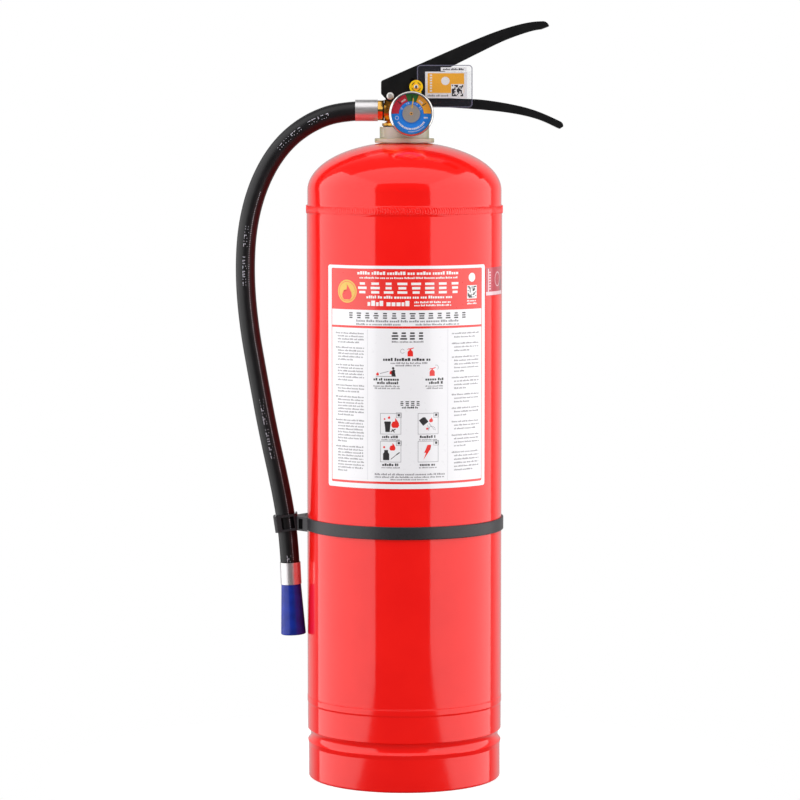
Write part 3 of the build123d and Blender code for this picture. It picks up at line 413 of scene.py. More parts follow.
def path_tree():
    """Sets copies of a small object along a path, with X along it and Z the way the path's points say."""
    tree = bpy.data.node_groups.new("copies_along_path", "GeometryNodeTree")
    sockets = tree.interface
    sockets.new_socket("Path", in_out="INPUT", socket_type="NodeSocketGeometry")
    sockets.new_socket("Spacing", in_out="INPUT", socket_type="NodeSocketFloat")
    sockets.new_socket("Copy", in_out="INPUT", socket_type="NodeSocketObject")
    sockets.new_socket("Unevenness", in_out="INPUT", socket_type="NodeSocketFloat")
    sockets.new_socket("Finish", in_out="INPUT", socket_type="NodeSocketMaterial")
    sockets.new_socket("Geometry", in_out="OUTPUT", socket_type="NodeSocketGeometry")
    given = add(tree, "NodeGroupInput").outputs
    curve = add(tree, "GeometryNodeMeshToCurve", {"Mesh": given["Path"]})
    even = add(tree, "GeometryNodeResampleCurve",
               {"Curve": curve.outputs["Curve"], "Length": given["Spacing"]}, mode="LENGTH")
    tangent = add(tree, "GeometryNodeInputTangent")
    outward = add(tree, "GeometryNodeInputNamedAttribute", {"Name": "outward"}, data_type="FLOAT_VECTOR")
    along = add(tree, "FunctionNodeAlignRotationToVector", {"Vector": tangent.outputs["Tangent"]}, axis="X")
    facing = add(tree, "FunctionNodeAlignRotationToVector",
                 {"Rotation": along.outputs["Rotation"], "Vector": outward.outputs["Attribute"]},
                 axis="Z", pivot_axis="X")
    spread = add(tree, "ShaderNodeMath", {0: 1.0, 1: given["Unevenness"]}, operation="SUBTRACT")
    size = add(tree, "FunctionNodeRandomValue", {"Seed": 7})
    for socket in size.inputs:
        if socket.name == "Min" and socket.type == "VALUE":
            tree.links.new(spread.outputs[0], socket)
        if socket.name == "Max" and socket.type == "VALUE":
            socket.default_value = 1.0
    info = add(tree, "GeometryNodeObjectInfo", {"Object": given["Copy"]})
    placed = add(tree, "GeometryNodeInstanceOnPoints",
                 {"Points": even.outputs["Curve"], "Instance": info.outputs["Geometry"],
                  "Rotation": facing.outputs["Rotation"]})
    scale = next(s for s in size.outputs if s.type == "VALUE")
    tree.links.new(scale, placed.inputs["Scale"])
    real = add(tree, "GeometryNodeRealizeInstances", {"Geometry": placed.outputs["Instances"]})
    painted = add(tree, "GeometryNodeSetMaterial",
                  {"Geometry": real.outputs["Geometry"], "Material": given["Finish"]})
    result = add(tree, "NodeGroupOutput")
    tree.links.new(painted.outputs["Geometry"], result.inputs["Geometry"])
    return tree


PATH_TREE = path_tree()


def along_path(name, points, outward, copy, spacing, unevenness, material, body, closed=False):
    """One piece made of copies of a small mesh along a path."""
    count = len(points)
    edges = [(i, (i + 1) % count) for i in range(count if closed else count - 1)]
    path = bpy.data.meshes.new(name + "_path")
    path.from_pydata(points, edges, [])
    path.attributes.new("outward", "FLOAT_VECTOR", "POINT")
    path.attributes["outward"].data.foreach_set("vector", [c for v in outward for c in v])
    holder = bpy.data.objects.new(name + "_path", path)
    pattern = bpy.data.objects.new(name + "_copy", copy)
    for made in (holder, pattern):
        bpy.context.scene.collection.objects.link(made)
    modifier = holder.modifiers.new("copies", "NODES")
    modifier.node_group = PATH_TREE
    values = {"Spacing": spacing, "Copy": pattern, "Unevenness": unevenness, "Finish": material}
    for item in PATH_TREE.interface.items_tree:
        if item.in_out == "INPUT" and item.name in values:
            modifier[item.identifier] = values[item.name]
    mesh = evaluated_mesh(holder)
    mesh.name = name
    for made in (holder, pattern):
        bpy.data.objects.remove(made)
    mesh.polygons.foreach_set("use_smooth", [True] * len(mesh.polygons))
    return new_piece(name, mesh, body)


# ---- hose ----------------------------------------------------------------------------------------

HOSE_ROUTE = [
    (-0.022, 0, 0.5488), (-0.050, 0, 0.5488), (-0.0775, 0, 0.5394), (-0.101, 0, 0.5205),
    (-0.1185, 0, 0.4915), (-0.1286, 0, 0.456), (-0.131, 0, 0.416), (-0.1278, 0, 0.374),
    (-0.120, 0, 0.329), (-0.112, 0, 0.285), (-0.1016, 0, 0.238), (-0.0952, 0, 0.198),
    (-0.0937, 0, 0.164),
]
HOSE_R = 7.9 * MM
HOSE_LENGTH = 0.452
ROUND = 44                                   # points round the hose


def hose_line():
    """Points along the route's own smooth spline, about a millimetre apart."""
    curve = bpy.data.curves.new("hose_route", "CURVE")
    curve.dimensions = "3D"
    spline = curve.splines.new("NURBS")
    spline.points.add(len(HOSE_ROUTE) - 1)
    for point, place in zip(spline.points, HOSE_ROUTE):
        point.co = (*place, 1)
    spline.order_u = 3
    spline.use_endpoint_u = True
    spline.resolution_u = 40
    holder = bpy.data.objects.new("hose_route", curve)
    bpy.context.scene.collection.objects.link(holder)
    mesh = evaluated_mesh(holder)
    points = [v.co.copy() for v in mesh.vertices]
    bpy.data.objects.remove(holder)
    bpy.data.meshes.remove(mesh)
    return points


line = hose_line()
travel = [0.0]
for before, after in zip(line, line[1:]):
    travel.append(travel[-1] + (after - before).length)
tangents = [(line[min(i + 1, len(line) - 1)] - line[max(i - 1, 0)]).normalized() for i in range(len(line))]
SIDE = Vector((0, -1, 0))                      # the route lies in a plane, so its front is always -Y


def on_hose(index, angle, radius):
    """A point at this angle round the hose: 0 is its front, and positive goes towards the inside of the
    bend."""
    inward = SIDE.cross(tangents[index])
    direction = SIDE * math.cos(angle) + inward * math.sin(angle)
    return line[index] + direction * radius, direction


def hose_tube():
    """The hose as a tube with its own map in metres: round it, then along it."""
    verts, faces = [], []
    for index in range(len(line)):
        for step in range(ROUND):
            verts.append(on_hose(index, 2 * math.pi * step / ROUND, HOSE_R)[0])
    for index in range(len(line) - 1):
        for step in range(ROUND):
            after = (step + 1) % ROUND
            a, b = index * ROUND, (index + 1) * ROUND
            faces.append((a + step, a + after, b + after, b + step))
    faces.append(tuple(range(ROUND)))
    faces.append(tuple(reversed(range((len(line) - 1) * ROUND, len(line) * ROUND))))
    mesh = mesh_of("rubber_hose", verts, faces, wrapped_rubber())
    layer = mesh.uv_layers.new(name="UVMap")
    for polygon in mesh.polygons:
        steps = [mesh.loops[i].vertex_index % ROUND for i in polygon.loop_indices]
        wraps = max(steps) - min(steps) > ROUND / 2 and len(steps) == 4
        for loop, step in zip(polygon.loop_indices, steps):
            turn = step + (ROUND if wraps and step == 0 else 0)
            index = mesh.loops[loop].vertex_index // ROUND
            layer.data[loop].uv = (2 * math.pi * HOSE_R * turn / ROUND, travel[index])
    turn_outwards(mesh)
    return new_piece("rubber_hose", mesh, "hose_line")


def bead(length, width, height):
    """A low rounded bead, X along its path, closed underneath."""
    bm = bmesh.new()
    bmesh.ops.create_uvsphere(bm, u_segments=8, v_segments=4, radius=0.5)
    for vert in bm.verts:
        vert.co = (vert.co.x * length, vert.co.y * width, vert.co.z * height)
    mesh = bpy.data.meshes.new("bead")
    bm.to_mesh(mesh)
    bm.free()
    return mesh


hose = hose_tube()
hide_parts("hose")
BEAD_ANGLE = math.radians(23.6)
BEAD_SPAN = (0.128, HOSE_LENGTH - 0.016)        # the knots show from below the hose's bend to the ferrule
BEAD_STEP = 1.5 * MM                           # the wrapping's knots, one to a thread pair
bead_points = [on_hose(i, BEAD_ANGLE, HOSE_R) for i in range(len(line))
               if BEAD_SPAN[0] < travel[i] < BEAD_SPAN[1]]
# the knots are real bumps on the hose; their pale grey is a painted highlight along the line where the hose
# turns from lit to dark
beads = along_path("hose_wrap_beads", [p for p, d in bead_points], [d for p, d in bead_points],
                   bead(0.75 * MM, 0.95 * MM, 0.6 * MM), BEAD_STEP, 0.35,
                   printed("painted_bead_highlight", "#c0bec6", 0.45, 0.1), "hose_line")


# ---- weld bead round the shoulder ----------------------------------------------------------------

WELD_R = 80.42 * MM
WELD_Z = 468.6 * MM
WELD_STEP = 2.1 * MM


def weld_ripple():
    """One crescent of a weld: X along the seam, Y up the seam, Z out of it."""
    height, bulge, width, proud, sunk = 6.6 * MM, 1.5 * MM, 1.5 * MM, 0.22 * MM, 0.15 * MM
    rows, columns = 9, 6
    verts, faces = [], []
    for row in range(rows):
        up = -1 + 2 * row / (rows - 1)
        fade = math.sqrt(max(0.0, 1 - up * up))
        for column in range(columns):
            across = column / (columns - 1)
            x = bulge * (1 - up * up) + width * (across - 0.5) * (0.3 + 0.7 * fade)
            lift = proud * math.sin(math.pi * across) * (0.25 + 0.75 * fade)
            verts.append((x, up * height / 2, lift))
    for row in range(rows - 1):
        for column in range(columns - 1):
            a = row * columns + column
            faces.append((a, a + 1, a + columns + 1, a + columns))
    floor = len(verts)
    rim = [row * columns for row in range(rows)]
    rim += [(rows - 1) * columns + c for c in range(1, columns)]
    rim += [row * columns + columns - 1 for row in reversed(range(rows - 1))]
    rim += [c for c in reversed(range(1, columns - 1))]
    for index in rim:
        x, y, _ = verts[index]
        verts.append((x, y, -sunk))
    for i in range(len(rim)):
        j = (i + 1) % len(rim)
        faces.append((rim[i], rim[j], floor + j, floor + i))
    faces.append(tuple(floor + i for i in range(len(rim))))
    mesh = mesh_of("weld_ripple", verts, faces, ENAMEL)
    turn_outwards(mesh)
    return mesh


circle = [2 * math.pi * i / 360 for i in range(360)]
along_path("weld_ripples", [(WELD_R * math.cos(a), WELD_R * math.sin(a), WELD_Z) for a in circle],
           [(math.cos(a), math.sin(a), 0) for a in circle],
           weld_ripple(), WELD_STEP, 0.12, ENAMEL, "root", closed=True)


# ---- paint bridge over the seam of the skirt -----------------------------------------------------

SEAM_R, SEAM_Z, SEAM_BEAD = 79.62 * MM, 68.0 * MM, 0.5 * MM


def seam_bridge():
    """A thin ring of paint that fills the seam above the skirt's lip."""
    around, section = 160, 8
    verts, faces = [], []
    for i in range(around):
        turn = 2 * math.pi * i / around
        for j in range(section):
            tilt = 2 * math.pi * j / section
            reach = SEAM_R + SEAM_BEAD * math.cos(tilt)
            up = SEAM_Z + SEAM_BEAD * math.sin(tilt)
            verts.append((reach * math.cos(turn), reach * math.sin(turn), up))
    for i in range(around):
        for j in range(section):
            a, b = i * section, (i + 1) % around * section
            k = (j + 1) % section
            faces.append((a + j, b + j, b + k, a + k))
    return new_piece("seam_paint", mesh_of("seam_paint", verts, faces, ENAMEL), "root")


seam_bridge()


# ---- flat shapes for print, in millimetres -------------------------------------------------------

def rect(left, low, right, high):
    return [(left, low), (right, low), (right, high), (left, high)]


def rounded(left, low, right, high, radius, steps=5):
    """A rectangle with rounded corners."""
    shape = []
    corners = ((right - radius, low + radius, -90), (right - radius, high - radius, 0),
               (left + radius, high - radius, 90), (left + radius, low + radius, 180))
    for x, y, start in corners:
        for step in range(steps + 1):
            angle = math.radians(start + 90 * step / steps)
            shape.append((x + radius * math.cos(angle), y + radius * math.sin(angle)))
    return shape


def sector(inner, outer, start, end, centre=(0, 0), step=4):
    """Quads that fill a ring, or part of one, between two angles in degrees."""
    count = max(1, round(abs(end - start) / step))
    shapes = []
    for i in range(count):
        a, b = (math.radians(start + (end - start) * (i + k) / count) for k in (0, 1))
        quad = [(inner, a), (outer, a), (outer, b), (inner, b)]
        shapes.append([(centre[0] + r * math.cos(t), centre[1] + r * math.sin(t)) for r, t in quad])
    return shapes


def disc(x, y, radius, steps=28):
    return [(x + radius * math.cos(2 * math.pi * i / steps), y + radius * math.sin(2 * math.pi * i / steps))
            for i in range(steps)]


def frame_of(left, low, right, high, width):
    """Four bars round a rectangle."""
    return [rect(left, low, right, low + width), rect(left, high - width, right, high),
            rect(left, low + width, left + width, high - width),
            rect(right - width, low + width, right, high - width)]


def border(left, low, right, high, radius, width):
    """A closed band just inside a rounded rectangle."""
    outer = rounded(left, low, right, high, radius)
    inner = rounded(left + width, low + width, right - width, high - width, radius - width)
    return [[outer[i - 1], outer[i], inner[i], inner[i - 1]] for i in range(len(outer))]


def bar(x0, y0, x1, y1, width):
    """A straight stroke between two points."""
    length = math.hypot(x1 - x0, y1 - y0)
    dx, dy = (y1 - y0) / length * width / 2, (x0 - x1) / length * width / 2
    return [(x0 + dx, y0 + dy), (x1 + dx, y1 + dy), (x1 - dx, y1 - dy), (x0 - dx, y0 - dy)]


def moved(shape, x, y, scale=1.0, turn=0.0):
    c, s = math.cos(math.radians(turn)) * scale, math.sin(math.radians(turn)) * scale
    return [(x + u * c - v * s, y + u * s + v * c) for u, v in shape]


def greeked(left, right, low, height, rng):
    """A line of stand-in lettering: plain blocks as wide as letters, with gaps between words."""
    shapes, at = [], left
    while at < right - height * 0.5:
        for _ in range(rng.randint(2, 7)):
            wide = height * rng.uniform(0.45, 0.85)
            if at + wide > right:
                break
            shapes.append(rect(at, low, at + wide, low + height * rng.choice((0.72, 0.72, 1.0))))
            at += wide + height * 0.2
        at += height * 0.45
    return shapes


def blocks(left, right, low, height, count, rng, gap=0.28):
    """A heading of stand-in characters: square cells, each of three plain bars."""
    shapes = []
    cell = (right - left) / (count - gap)
    wide = cell * (1 - gap)
    stroke = height * 0.22
    for i in range(count):
        x = left + i * cell
        for level in (0.0, 0.39, 0.78):
            inset = wide * rng.uniform(0.0, 0.22)
            foot = low + level * height
            shapes.append(rect(x + inset, foot, x + wide - inset, foot + stroke))
    return shapes


def checker(left, low, size, count, rng):
    """A square patch of small squares in a random, meaningless order."""
    cell = size / count
    return [rect(left + i * cell, low + j * cell, left + (i + 1) * cell, low + (j + 1) * cell)
            for i in range(count) for j in range(count) if rng.random() < 0.5]


EXTINGUISHER = [(-2.2, 0), (2.2, 0), (2.2, 3.4), (1.5, 4.6), (0.6, 5.0), (0.6, 5.7), (3.0, 6.6), (2.8, 7.1),
                (0.0, 6.4), (-1.9, 6.3), (-2.4, 5.4), (-1.9, 5.2), (-1.5, 5.8), (-0.6, 5.7), (-0.6, 5.0),
                (-1.5, 4.6), (-2.2, 3.4)]
FLAME = [(-1.7, 0), (1.7, 0), (2.8, 1.5), (2.5, 3.4), (1.7, 2.8), (1.6, 4.9), (0.1, 7.2), (-0.2, 4.7),
         (-1.2, 3.4), (-1.9, 4.4), (-2.9, 2.3), (-2.6, 0.9)]
BOLT = [(0.4, 7.0), (3.0, 7.0), (1.2, 3.9), (2.4, 3.9), (-2.4, -3.2), (-0.6, 1.6), (-1.9, 1.6)]
BIN = [(-1.5, 0), (1.5, 0), (2.1, 6.0), (2.5, 6.2), (2.1, 7.4), (-2.1, 7.4), (-2.5, 6.2), (-2.1, 6.0)]
BOTTLE = [(-2.3, 0), (2.3, 0), (2.3, 4.6), (1.4, 5.8), (1.4, 7.4), (0.6, 7.4), (0.6, 6.4), (-0.6, 6.4),
          (-0.6, 7.4), (-1.4, 7.4), (-1.4, 5.8), (-2.3, 4.6)]
CAN = [(-2.6, -2.4), (2.6, -2.4), (2.6, 1.8), (1.2, 2.9), (-2.6, 2.9)]
WORKER = [(-0.7, 0), (0.3, 0), (0.9, 2.4), (1.7, 0), (2.7, 0), (2.0, 3.2), (2.1, 5.0), (0.6, 5.4),
          (-1.3, 3.9), (-0.9, 3.3), (0.6, 4.2), (0.4, 2.8)]


def area(shape):
    return sum(a[0] * b[1] - b[0] * a[1] for a, b in zip(shape, shape[1:] + shape[:1])) / 2


def ink(name, shapes, material, place, strip=None, body="root", thickness=0.02):
    """Prints flat shapes, in millimetres, as one thin piece. Place turns a flat point to its place on the
    object, and strip is how finely a shape is cut to bend round a curve."""
    bm = bmesh.new()
    for shape in shapes:
        ordered = shape if area(shape) > 0 else shape[::-1]
        bm.faces.new([bm.verts.new((x, y, 0)) for x, y in ordered])
    bmesh.ops.triangulate(bm, faces=[f for f in bm.faces if len(f.verts) > 4])
    if strip:
        low = min(v.co.x for v in bm.verts)
        high = max(v.co.x for v in bm.verts)
        for cut in range(math.ceil(low / strip), math.floor(high / strip) + 1):
            bmesh.ops.bisect_plane(bm, geom=bm.verts[:] + bm.edges[:] + bm.faces[:], dist=1e-5,
                                   plane_co=(cut * strip, 0, 0), plane_no=(1, 0, 0))
    faces = bm.faces[:]
    bm.normal_update()
    bmesh.ops.solidify(bm, geom=faces, thickness=thickness)
    low = min(v.co.z for v in bm.verts)
    for vert in bm.verts:
        depth = thickness if vert.co.z > low + thickness / 2 else 0.0
        vert.co = place(vert.co.x, vert.co.y, depth - thickness) * MM
    bmesh.ops.recalc_face_normals(bm, faces=bm.faces)
    mesh = bpy.data.meshes.new(name)
    bm.to_mesh(mesh)
    bm.free()
    mesh.materials.append(material)
    return new_piece(name, mesh, body)


def round_shell(radius, middle):
    """Places label millimetres on the shell, the first along the arc from the middle angle in degrees."""
    def place(along, up, lift):
        angle = math.radians(middle) + along / radius
        reach = radius + lift
        return Vector((reach * math.sin(angle), -reach * math.cos(angle), up))
    return place


def facing_front(x, y, z):
    """Places millimetres about a centre on an upright face towards the front."""
    def place(across, up, lift):
        return Vector((x + across, y - lift, z + up))
    return place


# ---- main label ----------------------------------------------------------------------------------

LABEL_R = 80.22
LABEL_MIDDLE = 2.0
LAYER = 0.03                                  # one layer of print over another
HALF = 68.4                                   # half of the printed field's width
FIELD_TOP, FIELD_LOW = 422.9, 250.8
BAND_TOP, BAND_LOW = 390.0, 377.2
PANEL_TOP, PANEL_LOW = 375.4, 252.6
STRIP = 2.0


def label_layer(name, shapes, material, layer):
    place = round_shell(LABEL_R + layer * LAYER, LABEL_MIDDLE)
    return ink(name, shapes, material, place, STRIP)


rng = random.Random(11)
red_field = [rounded(-HALF, FIELD_LOW, HALF, FIELD_TOP, 1.2)]
INSET = HALF - 0.7                              # the red field shows as a thin frame round the white ones
white_fields = [rect(-INSET, BAND_LOW, INSET, BAND_TOP), rect(-INSET, PANEL_LOW, INSET, PANEL_TOP)]
white, gold, dark, grey, pale, red = [], [], [], [], [], []

# header: a round flame emblem, a title and its lines, and a plain disc over a small patch
EMBLEM = (-51.8, 404.5)
gold += [disc(*EMBLEM, 9.2, 40)]
header_red = [moved(FLAME, EMBLEM[0], EMBLEM[1] - 6.6, 1.7)]
header_red += sector(7.7, 8.1, 0, 360, EMBLEM, 10)
white += greeked(-42.0, 43.0, 418.2, 2.6, rng) + greeked(-40.0, 42.0, 415.0, 1.5, rng)
white += blocks(-41.5, 43.5, 403.2, 8.8, 8, rng)
white += greeked(-34.0, 37.0, 399.3, 2.2, rng)
white += greeked(-33.0, 2.0, 393.3, 4.2, rng)
white += greeked(5.0, 36.0, 395.6, 1.6, rng) + greeked(5.0, 36.0, 393.2, 1.4, rng)
white.append(disc(56.6, 415.4, 3.6, 24))
white += [rect(51.4, 398.4, 62.0, 409.0)]
patch = checker(52.0, 399.0, 9.4, 9, rng)
white += greeked(51.4, 62.0, 396.0, 1.3, rng) + greeked(51.4, 62.0, 393.8, 1.3, rng)

# white band: one dark heading and two fine lines
dark += blocks(-50.5, 50.5, 383.2, 4.6, 14, rng, 0.34)
grey += greeked(-43.0, 44.0, 380.4, 1.8, rng)
grey += greeked(-43.0, -6.0, 377.9, 1.4, rng) + greeked(6.0, 44.0, 377.9, 1.4, rng)

# panel: two narrow columns of fine lines with a faint line beside each
COLUMN = 33.0
pale += [rect(-COLUMN - 0.15, PANEL_LOW + 1, -COLUMN + 0.15, PANEL_TOP - 1)]
pale += [rect(COLUMN - 0.15, PANEL_LOW + 1, COLUMN + 0.15, PANEL_TOP - 1)]
for left, right, groups in ((-63.6, -36.0, (4, 5, 6, 3, 7, 8, 9)), (36.6, 65.0, (2, 3, 5, 4, 3, 3, 3, 4, 6))):
    row = PANEL_TOP - 5.0
    pitch = (PANEL_TOP - PANEL_LOW - 8.0) / (sum(groups) + 0.8 * len(groups))
    for count in groups:
        for number in range(count):
            end = right if number < count - 1 else left + (right - left) * rng.uniform(0.4, 0.9)
            grey += greeked(left + (0.0 if number == 0 else 2.2), end, row, 1.25, rng)
            row -= pitch
        row -= pitch * 0.8

# panel, centre: a heading over three steps
dark += blocks(-13.2, 13.2, 366.6, 5.8, 4, rng, 0.2)
grey += greeked(-13.0, 13.0, 364.2, 1.4, rng)
red.append(moved(EXTINGUISHER, 1.8, 353.2))
grey += sector(1.5, 1.8, 30, 330, (-4.4, 357.4), 15)
dark += greeked(-20.0, 20.0, 349.6, 2.4, rng)
grey += greeked(-14.0, 17.0, 347.2, 1.3, rng) + greeked(-10.0, 10.0, 345.3, 1.3, rng)
red += [moved(FLAME, -24.6, 337.8, 0.42), moved(EXTINGUISHER, -13.8, 339.0, 0.42)]
dark += [moved(WORKER, -12.4, 337.4, 0.98), disc(-11.9, 343.7, 1.0, 14), rect(-26.0, 337.0, -9.6, 337.3)]
grey += [bar(-22.6, 339.4, -15.6, 341.2, 0.5)]
red.append(moved(EXTINGUISHER, 19.6, 337.4, 0.98))
grey += sector(1.7, 2.0, 300, 480, (23.0, 344.2), 15)
for left, right in ((-28.0, -6.0), (14.0, 30.0)):
    dark += greeked(left, right, 333.8, 2.1, rng) + greeked(left + 3, right, 331.0, 2.1, rng)
    grey += greeked(left, right, 328.8, 1.2, rng) + greeked(left + 1, right, 327.0, 1.2, rng)

# panel, centre: a heading over four boxed kinds of fire
dark += blocks(-6.6, 9.8, 313.8, 3.6, 4, rng, 0.2)
dark += greeked(-4.8, 8.4, 311.6, 1.5, rng)
BOX = 16.9
BOXES = {"solid": (-22.4, 290.8), "liquid": (7.9, 290.8), "gas": (-22.4, 268.4), "live": (7.9, 268.4)}
for x, y in BOXES.values():
    grey += frame_of(x, y, x + BOX, y + BOX, 0.32)
    grey += frame_of(x + BOX - 4.0, y + BOX - 3.6, x + BOX + 0.3, y + BOX + 0.6, 0.3)
    dark.append(rect(x + BOX - 2.8, y + BOX - 2.4, x + BOX - 0.9, y + BOX - 0.6))
    dark += greeked(x + 1.6, x + BOX - 1.0, y - 3.0, 2.0, rng)
    grey += greeked(x + 1.0, x + BOX - 1.0, y - 4.9, 1.1, rng)
x, y = BOXES["solid"]
dark += [moved(BIN, x + 6.0, y + 1.8, 1.15), bar(x + 8.6, y + 2.2, x + 12.4, y + 4.2, 0.9),
         bar(x + 9.6, y + 4.2, x + 11.6, y + 1.6, 0.7)]
red += [moved(FLAME, x + 12.2, y + 5.2, 1.12), moved(FLAME, x + 7.2, y + 12.4, 0.36)]
red.append(disc(x + 3.6, y + 12.2, 0.7, 12))
x, y = BOXES["liquid"]
dark.append(moved(CAN, x + 4.9, y + 10.4, 1.05, 38))
grey += [bar(x + 7.6, y + 7.4, x + 9.4, y + 4.0, 0.3), bar(x + 9.0, y + 8.8, x + 13.4, y + 3.4, 0.3)]
grey += sector(2.7, 3.0, -10, 190, (x + 11.4, y + 3.4), 15)
red += [moved(FLAME, x + 10.8, y + 9.6, 0.56), disc(x + 7.6, y + 4.4, 0.9, 12)]
x, y = BOXES["gas"]
dark += [moved(BOTTLE, x + 4.8, y + 1.6, 1.1), bar(x + 8.6, y + 2.4, x + 14.2, y + 6.8, 0.45),
         bar(x + 13.2, y + 6.0, x + 15.6, y + 7.9, 0.8)]
red += [moved(FLAME, x + 10.0, y + 9.4, 0.86), disc(x + 3.2, y + 12.0, 0.9, 12)]
x, y = BOXES["live"]
red.append(moved(BOLT, x + 7.4, y + 5.6, 1.18))
grey += greeked(-27.0, 31.0, 257.9, 1.5, rng)
grey += greeked(-27.0, 31.0, 255.8, 1.3, rng)
grey += greeked(-14.0, 17.0, 253.9, 1.1, rng)

label_layer("label_red_field", red_field, RED_INK, 1)
label_layer("label_white_fields", white_fields, FILM, 2)
label_layer("label_gold_print", gold, GOLD_INK, 2)
label_layer("label_white_print", white, WHITE_INK, 2)
label_layer("label_emblem_flame", header_red, RED_INK, 3)
label_layer("label_patch_print", patch, DARK_INK, 3)
label_layer("label_pale_lines", pale, LINE_INK, 3)
label_layer("label_dark_print", dark, DARK_INK, 3)
label_layer("label_grey_print", grey, GREY_INK, 3)
label_layer("label_red_print", red, RED_INK, 3)


# ---- side sticker --------------------------------------------------------------------------------

SIDE_MIDDLE = 67.6
side_white = sector(5.2, 6.0, 0, 360, (3.4, 412.6), 12)
side_white += [rect(-14.6, 401.2, -13.4, 421.4), rect(-17.6, 400.0, 17.6, 402.8)]
side_white += [rect(-12.6, 404.6 + 2.2 * i, -10.4, 405.8 + 2.2 * i) for i in range(7)]
ink("sticker_pale_print", side_white, printed("pale_pink_ink", "#eec6cd"),
    round_shell(LABEL_R + LAYER, SIDE_MIDDLE), STRIP)
ink("sticker_patch_print", checker(8.6, 403.4, 8.4, 8, rng), printed("grey_pink_ink", "#8c5a60"),
    round_shell(LABEL_R + LAYER, SIDE_MIDDLE), STRIP)


# ---- gauge face ----------------------------------------------------------------------------------

GAUGE = (5.5, 546.1)
DIAL_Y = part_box("gauge_dial")[0].y / MM
BAND_IN, BAND_OUT = 10.0, 16.2


def figures(text, height):
    """The outlines of a number, centred, with its figures this tall."""
    curve = bpy.data.curves.new("figures", "FONT")
    curve.body = text
    curve.size = height * 1.4
    curve.align_x = "CENTER"
    curve.align_y = "CENTER"
    curve.resolution_u = 3
    holder = bpy.data.objects.new("figures", curve)
    bpy.context.scene.collection.objects.link(holder)
    mesh = evaluated_mesh(holder)
    shapes = [[tuple(mesh.vertices[i].co.xy) for i in polygon.vertices] for polygon in mesh.polygons]
    bpy.data.objects.remove(holder)
    bpy.data.meshes.remove(mesh)
    return [shape for shape in shapes if abs(area(shape)) > 1e-6]


def round_dial(shapes, radius, angle):
    """Turns shapes to stand upright on a circle of the dial at this angle."""
    turn = angle - 90
    x, y = radius * math.cos(math.radians(angle)), radius * math.sin(math.radians(angle))
    return [moved(shape, x, y, 1.0, turn) for shape in shapes]


def dial_layer(name, shapes, material, layer):
    return ink(name, shapes, material, facing_front(GAUGE[0], DIAL_Y - layer * LAYER, GAUGE[1]))


dial_layer("dial_red_zone", sector(BAND_IN, BAND_OUT, 106, 180), CRIMSON_INK, 1)
dial_layer("dial_green_zone", sector(BAND_IN, BAND_OUT, 68, 106), GREEN_INK, 1)
dial_layer("dial_orange_zone", sector(BAND_IN, BAND_OUT, 0, 68), ORANGE_INK, 1)
black = sector(BAND_IN - 0.12, BAND_IN + 0.12, 0, 180) + sector(BAND_OUT - 0.2, BAND_OUT, 0, 180)
for angle in (0, 68, 106, 180):
    black.append(moved(rect(BAND_IN, -0.12, BAND_OUT, 0.12), 0, 0, 1.0, angle))
TICK = [(11.0, -0.5), (11.0, 0.5), (14.8, 0.25), (14.8, -0.25)]
for angle in (137, 87, 35):
    black.append(moved(TICK, 0, 0, 1.0, angle))
dial_layer("dial_black_lines", black, DARK_INK, 2)
numbers = []
for text, angle in (("0", 152), ("1.0", 110), ("1.4", 64), ("2.5", 30)):
    numbers += round_dial(figures(text, 1.7), 8.65, angle)
for angle in (121, 51):
    numbers += round_dial([rect(-1.9 + 1.0 * i, -0.6, -1.2 + 1.0 * i, 0.6) for i in range(4)], 12.2, angle)
for i in range(19):
    angle = 214 + 6.2 * i
    numbers += round_dial([rect(-0.42, -0.75, 0.42, 0.75)], 12.4, angle if i % 5 != 4 else angle - 1.2)
for i in range(14):
    numbers += round_dial([rect(-0.25, -0.3, 0.25, 0.3)], 14.6, 262 + 4.0 * i)
numbers += sector(1.2, 1.5, 0, 360, (-11.6, -3.4), 20)
numbers += [rect(10.2 + 1.1 * i, -3.9, 11.0 + 1.1 * i, -2.7) for i in range(3)]
dial_layer("dial_white_numbers", numbers, WHITE_INK, 3)

# the needle's paint, and the ring round its pivot
TIP_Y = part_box("gauge_pointer")[0].y / MM
NEEDLE_Y = TIP_Y + 0.4                          # front of the needle, behind the pivot's tip
NEEDLE_ANGLE = 82


def pointer_layer(name, shapes, material, y):
    place = facing_front(GAUGE[0], y - LAYER, GAUGE[1])
    return ink(name, shapes, material, place, body="pointer")


needle = moved(rect(4.6, -0.44, 12.55, 0.44), 0, 0, 1.0, NEEDLE_ANGLE)
pointer_layer("needle_paint", [needle], GOLD_INK, NEEDLE_Y)
pointer_layer("pivot_ring", sector(0.75, 1.15, 0, 360, (0, 0), 20), ORANGE_INK, TIP_Y)
pointer_layer("pivot_dot", [disc(0, 0, 0.72, 16)], DARK_INK, TIP_Y)


# ---- tamper seal ---------------------------------------------------------------------------------

SEAL = (9.5, 567.8)
SEAL_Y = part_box("tamper_seal")[0].y / MM
SEAL_DISH = 0.5                                 # depth of the dish between the seal's rim and its hub


def seal_layer(name, shapes, material, depth):
    place = facing_front(SEAL[0], SEAL_Y + depth - LAYER, SEAL[1])
    return ink(name, shapes, material, place, body="tag")


dashes = [quad for start in (20, 110, 200, 290) for quad in sector(3.2, 3.8, start, start + 50)]
seal_layer("seal_orange_ring", sector(1.75, 2.55, 0, 360, (0, 0), 12), ORANGE_INK, 0.0)
seal_layer("seal_dark_dashes", dashes, DARK_INK, SEAL_DISH)


# ---- card in the tag -----------------------------------------------------------------------------

CARD = (33.8, 569.4)                            # the card's middle
CARD_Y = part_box("tag_card")[0].y / MM
CASE_WIDE = 45.0                                # the case without its loop


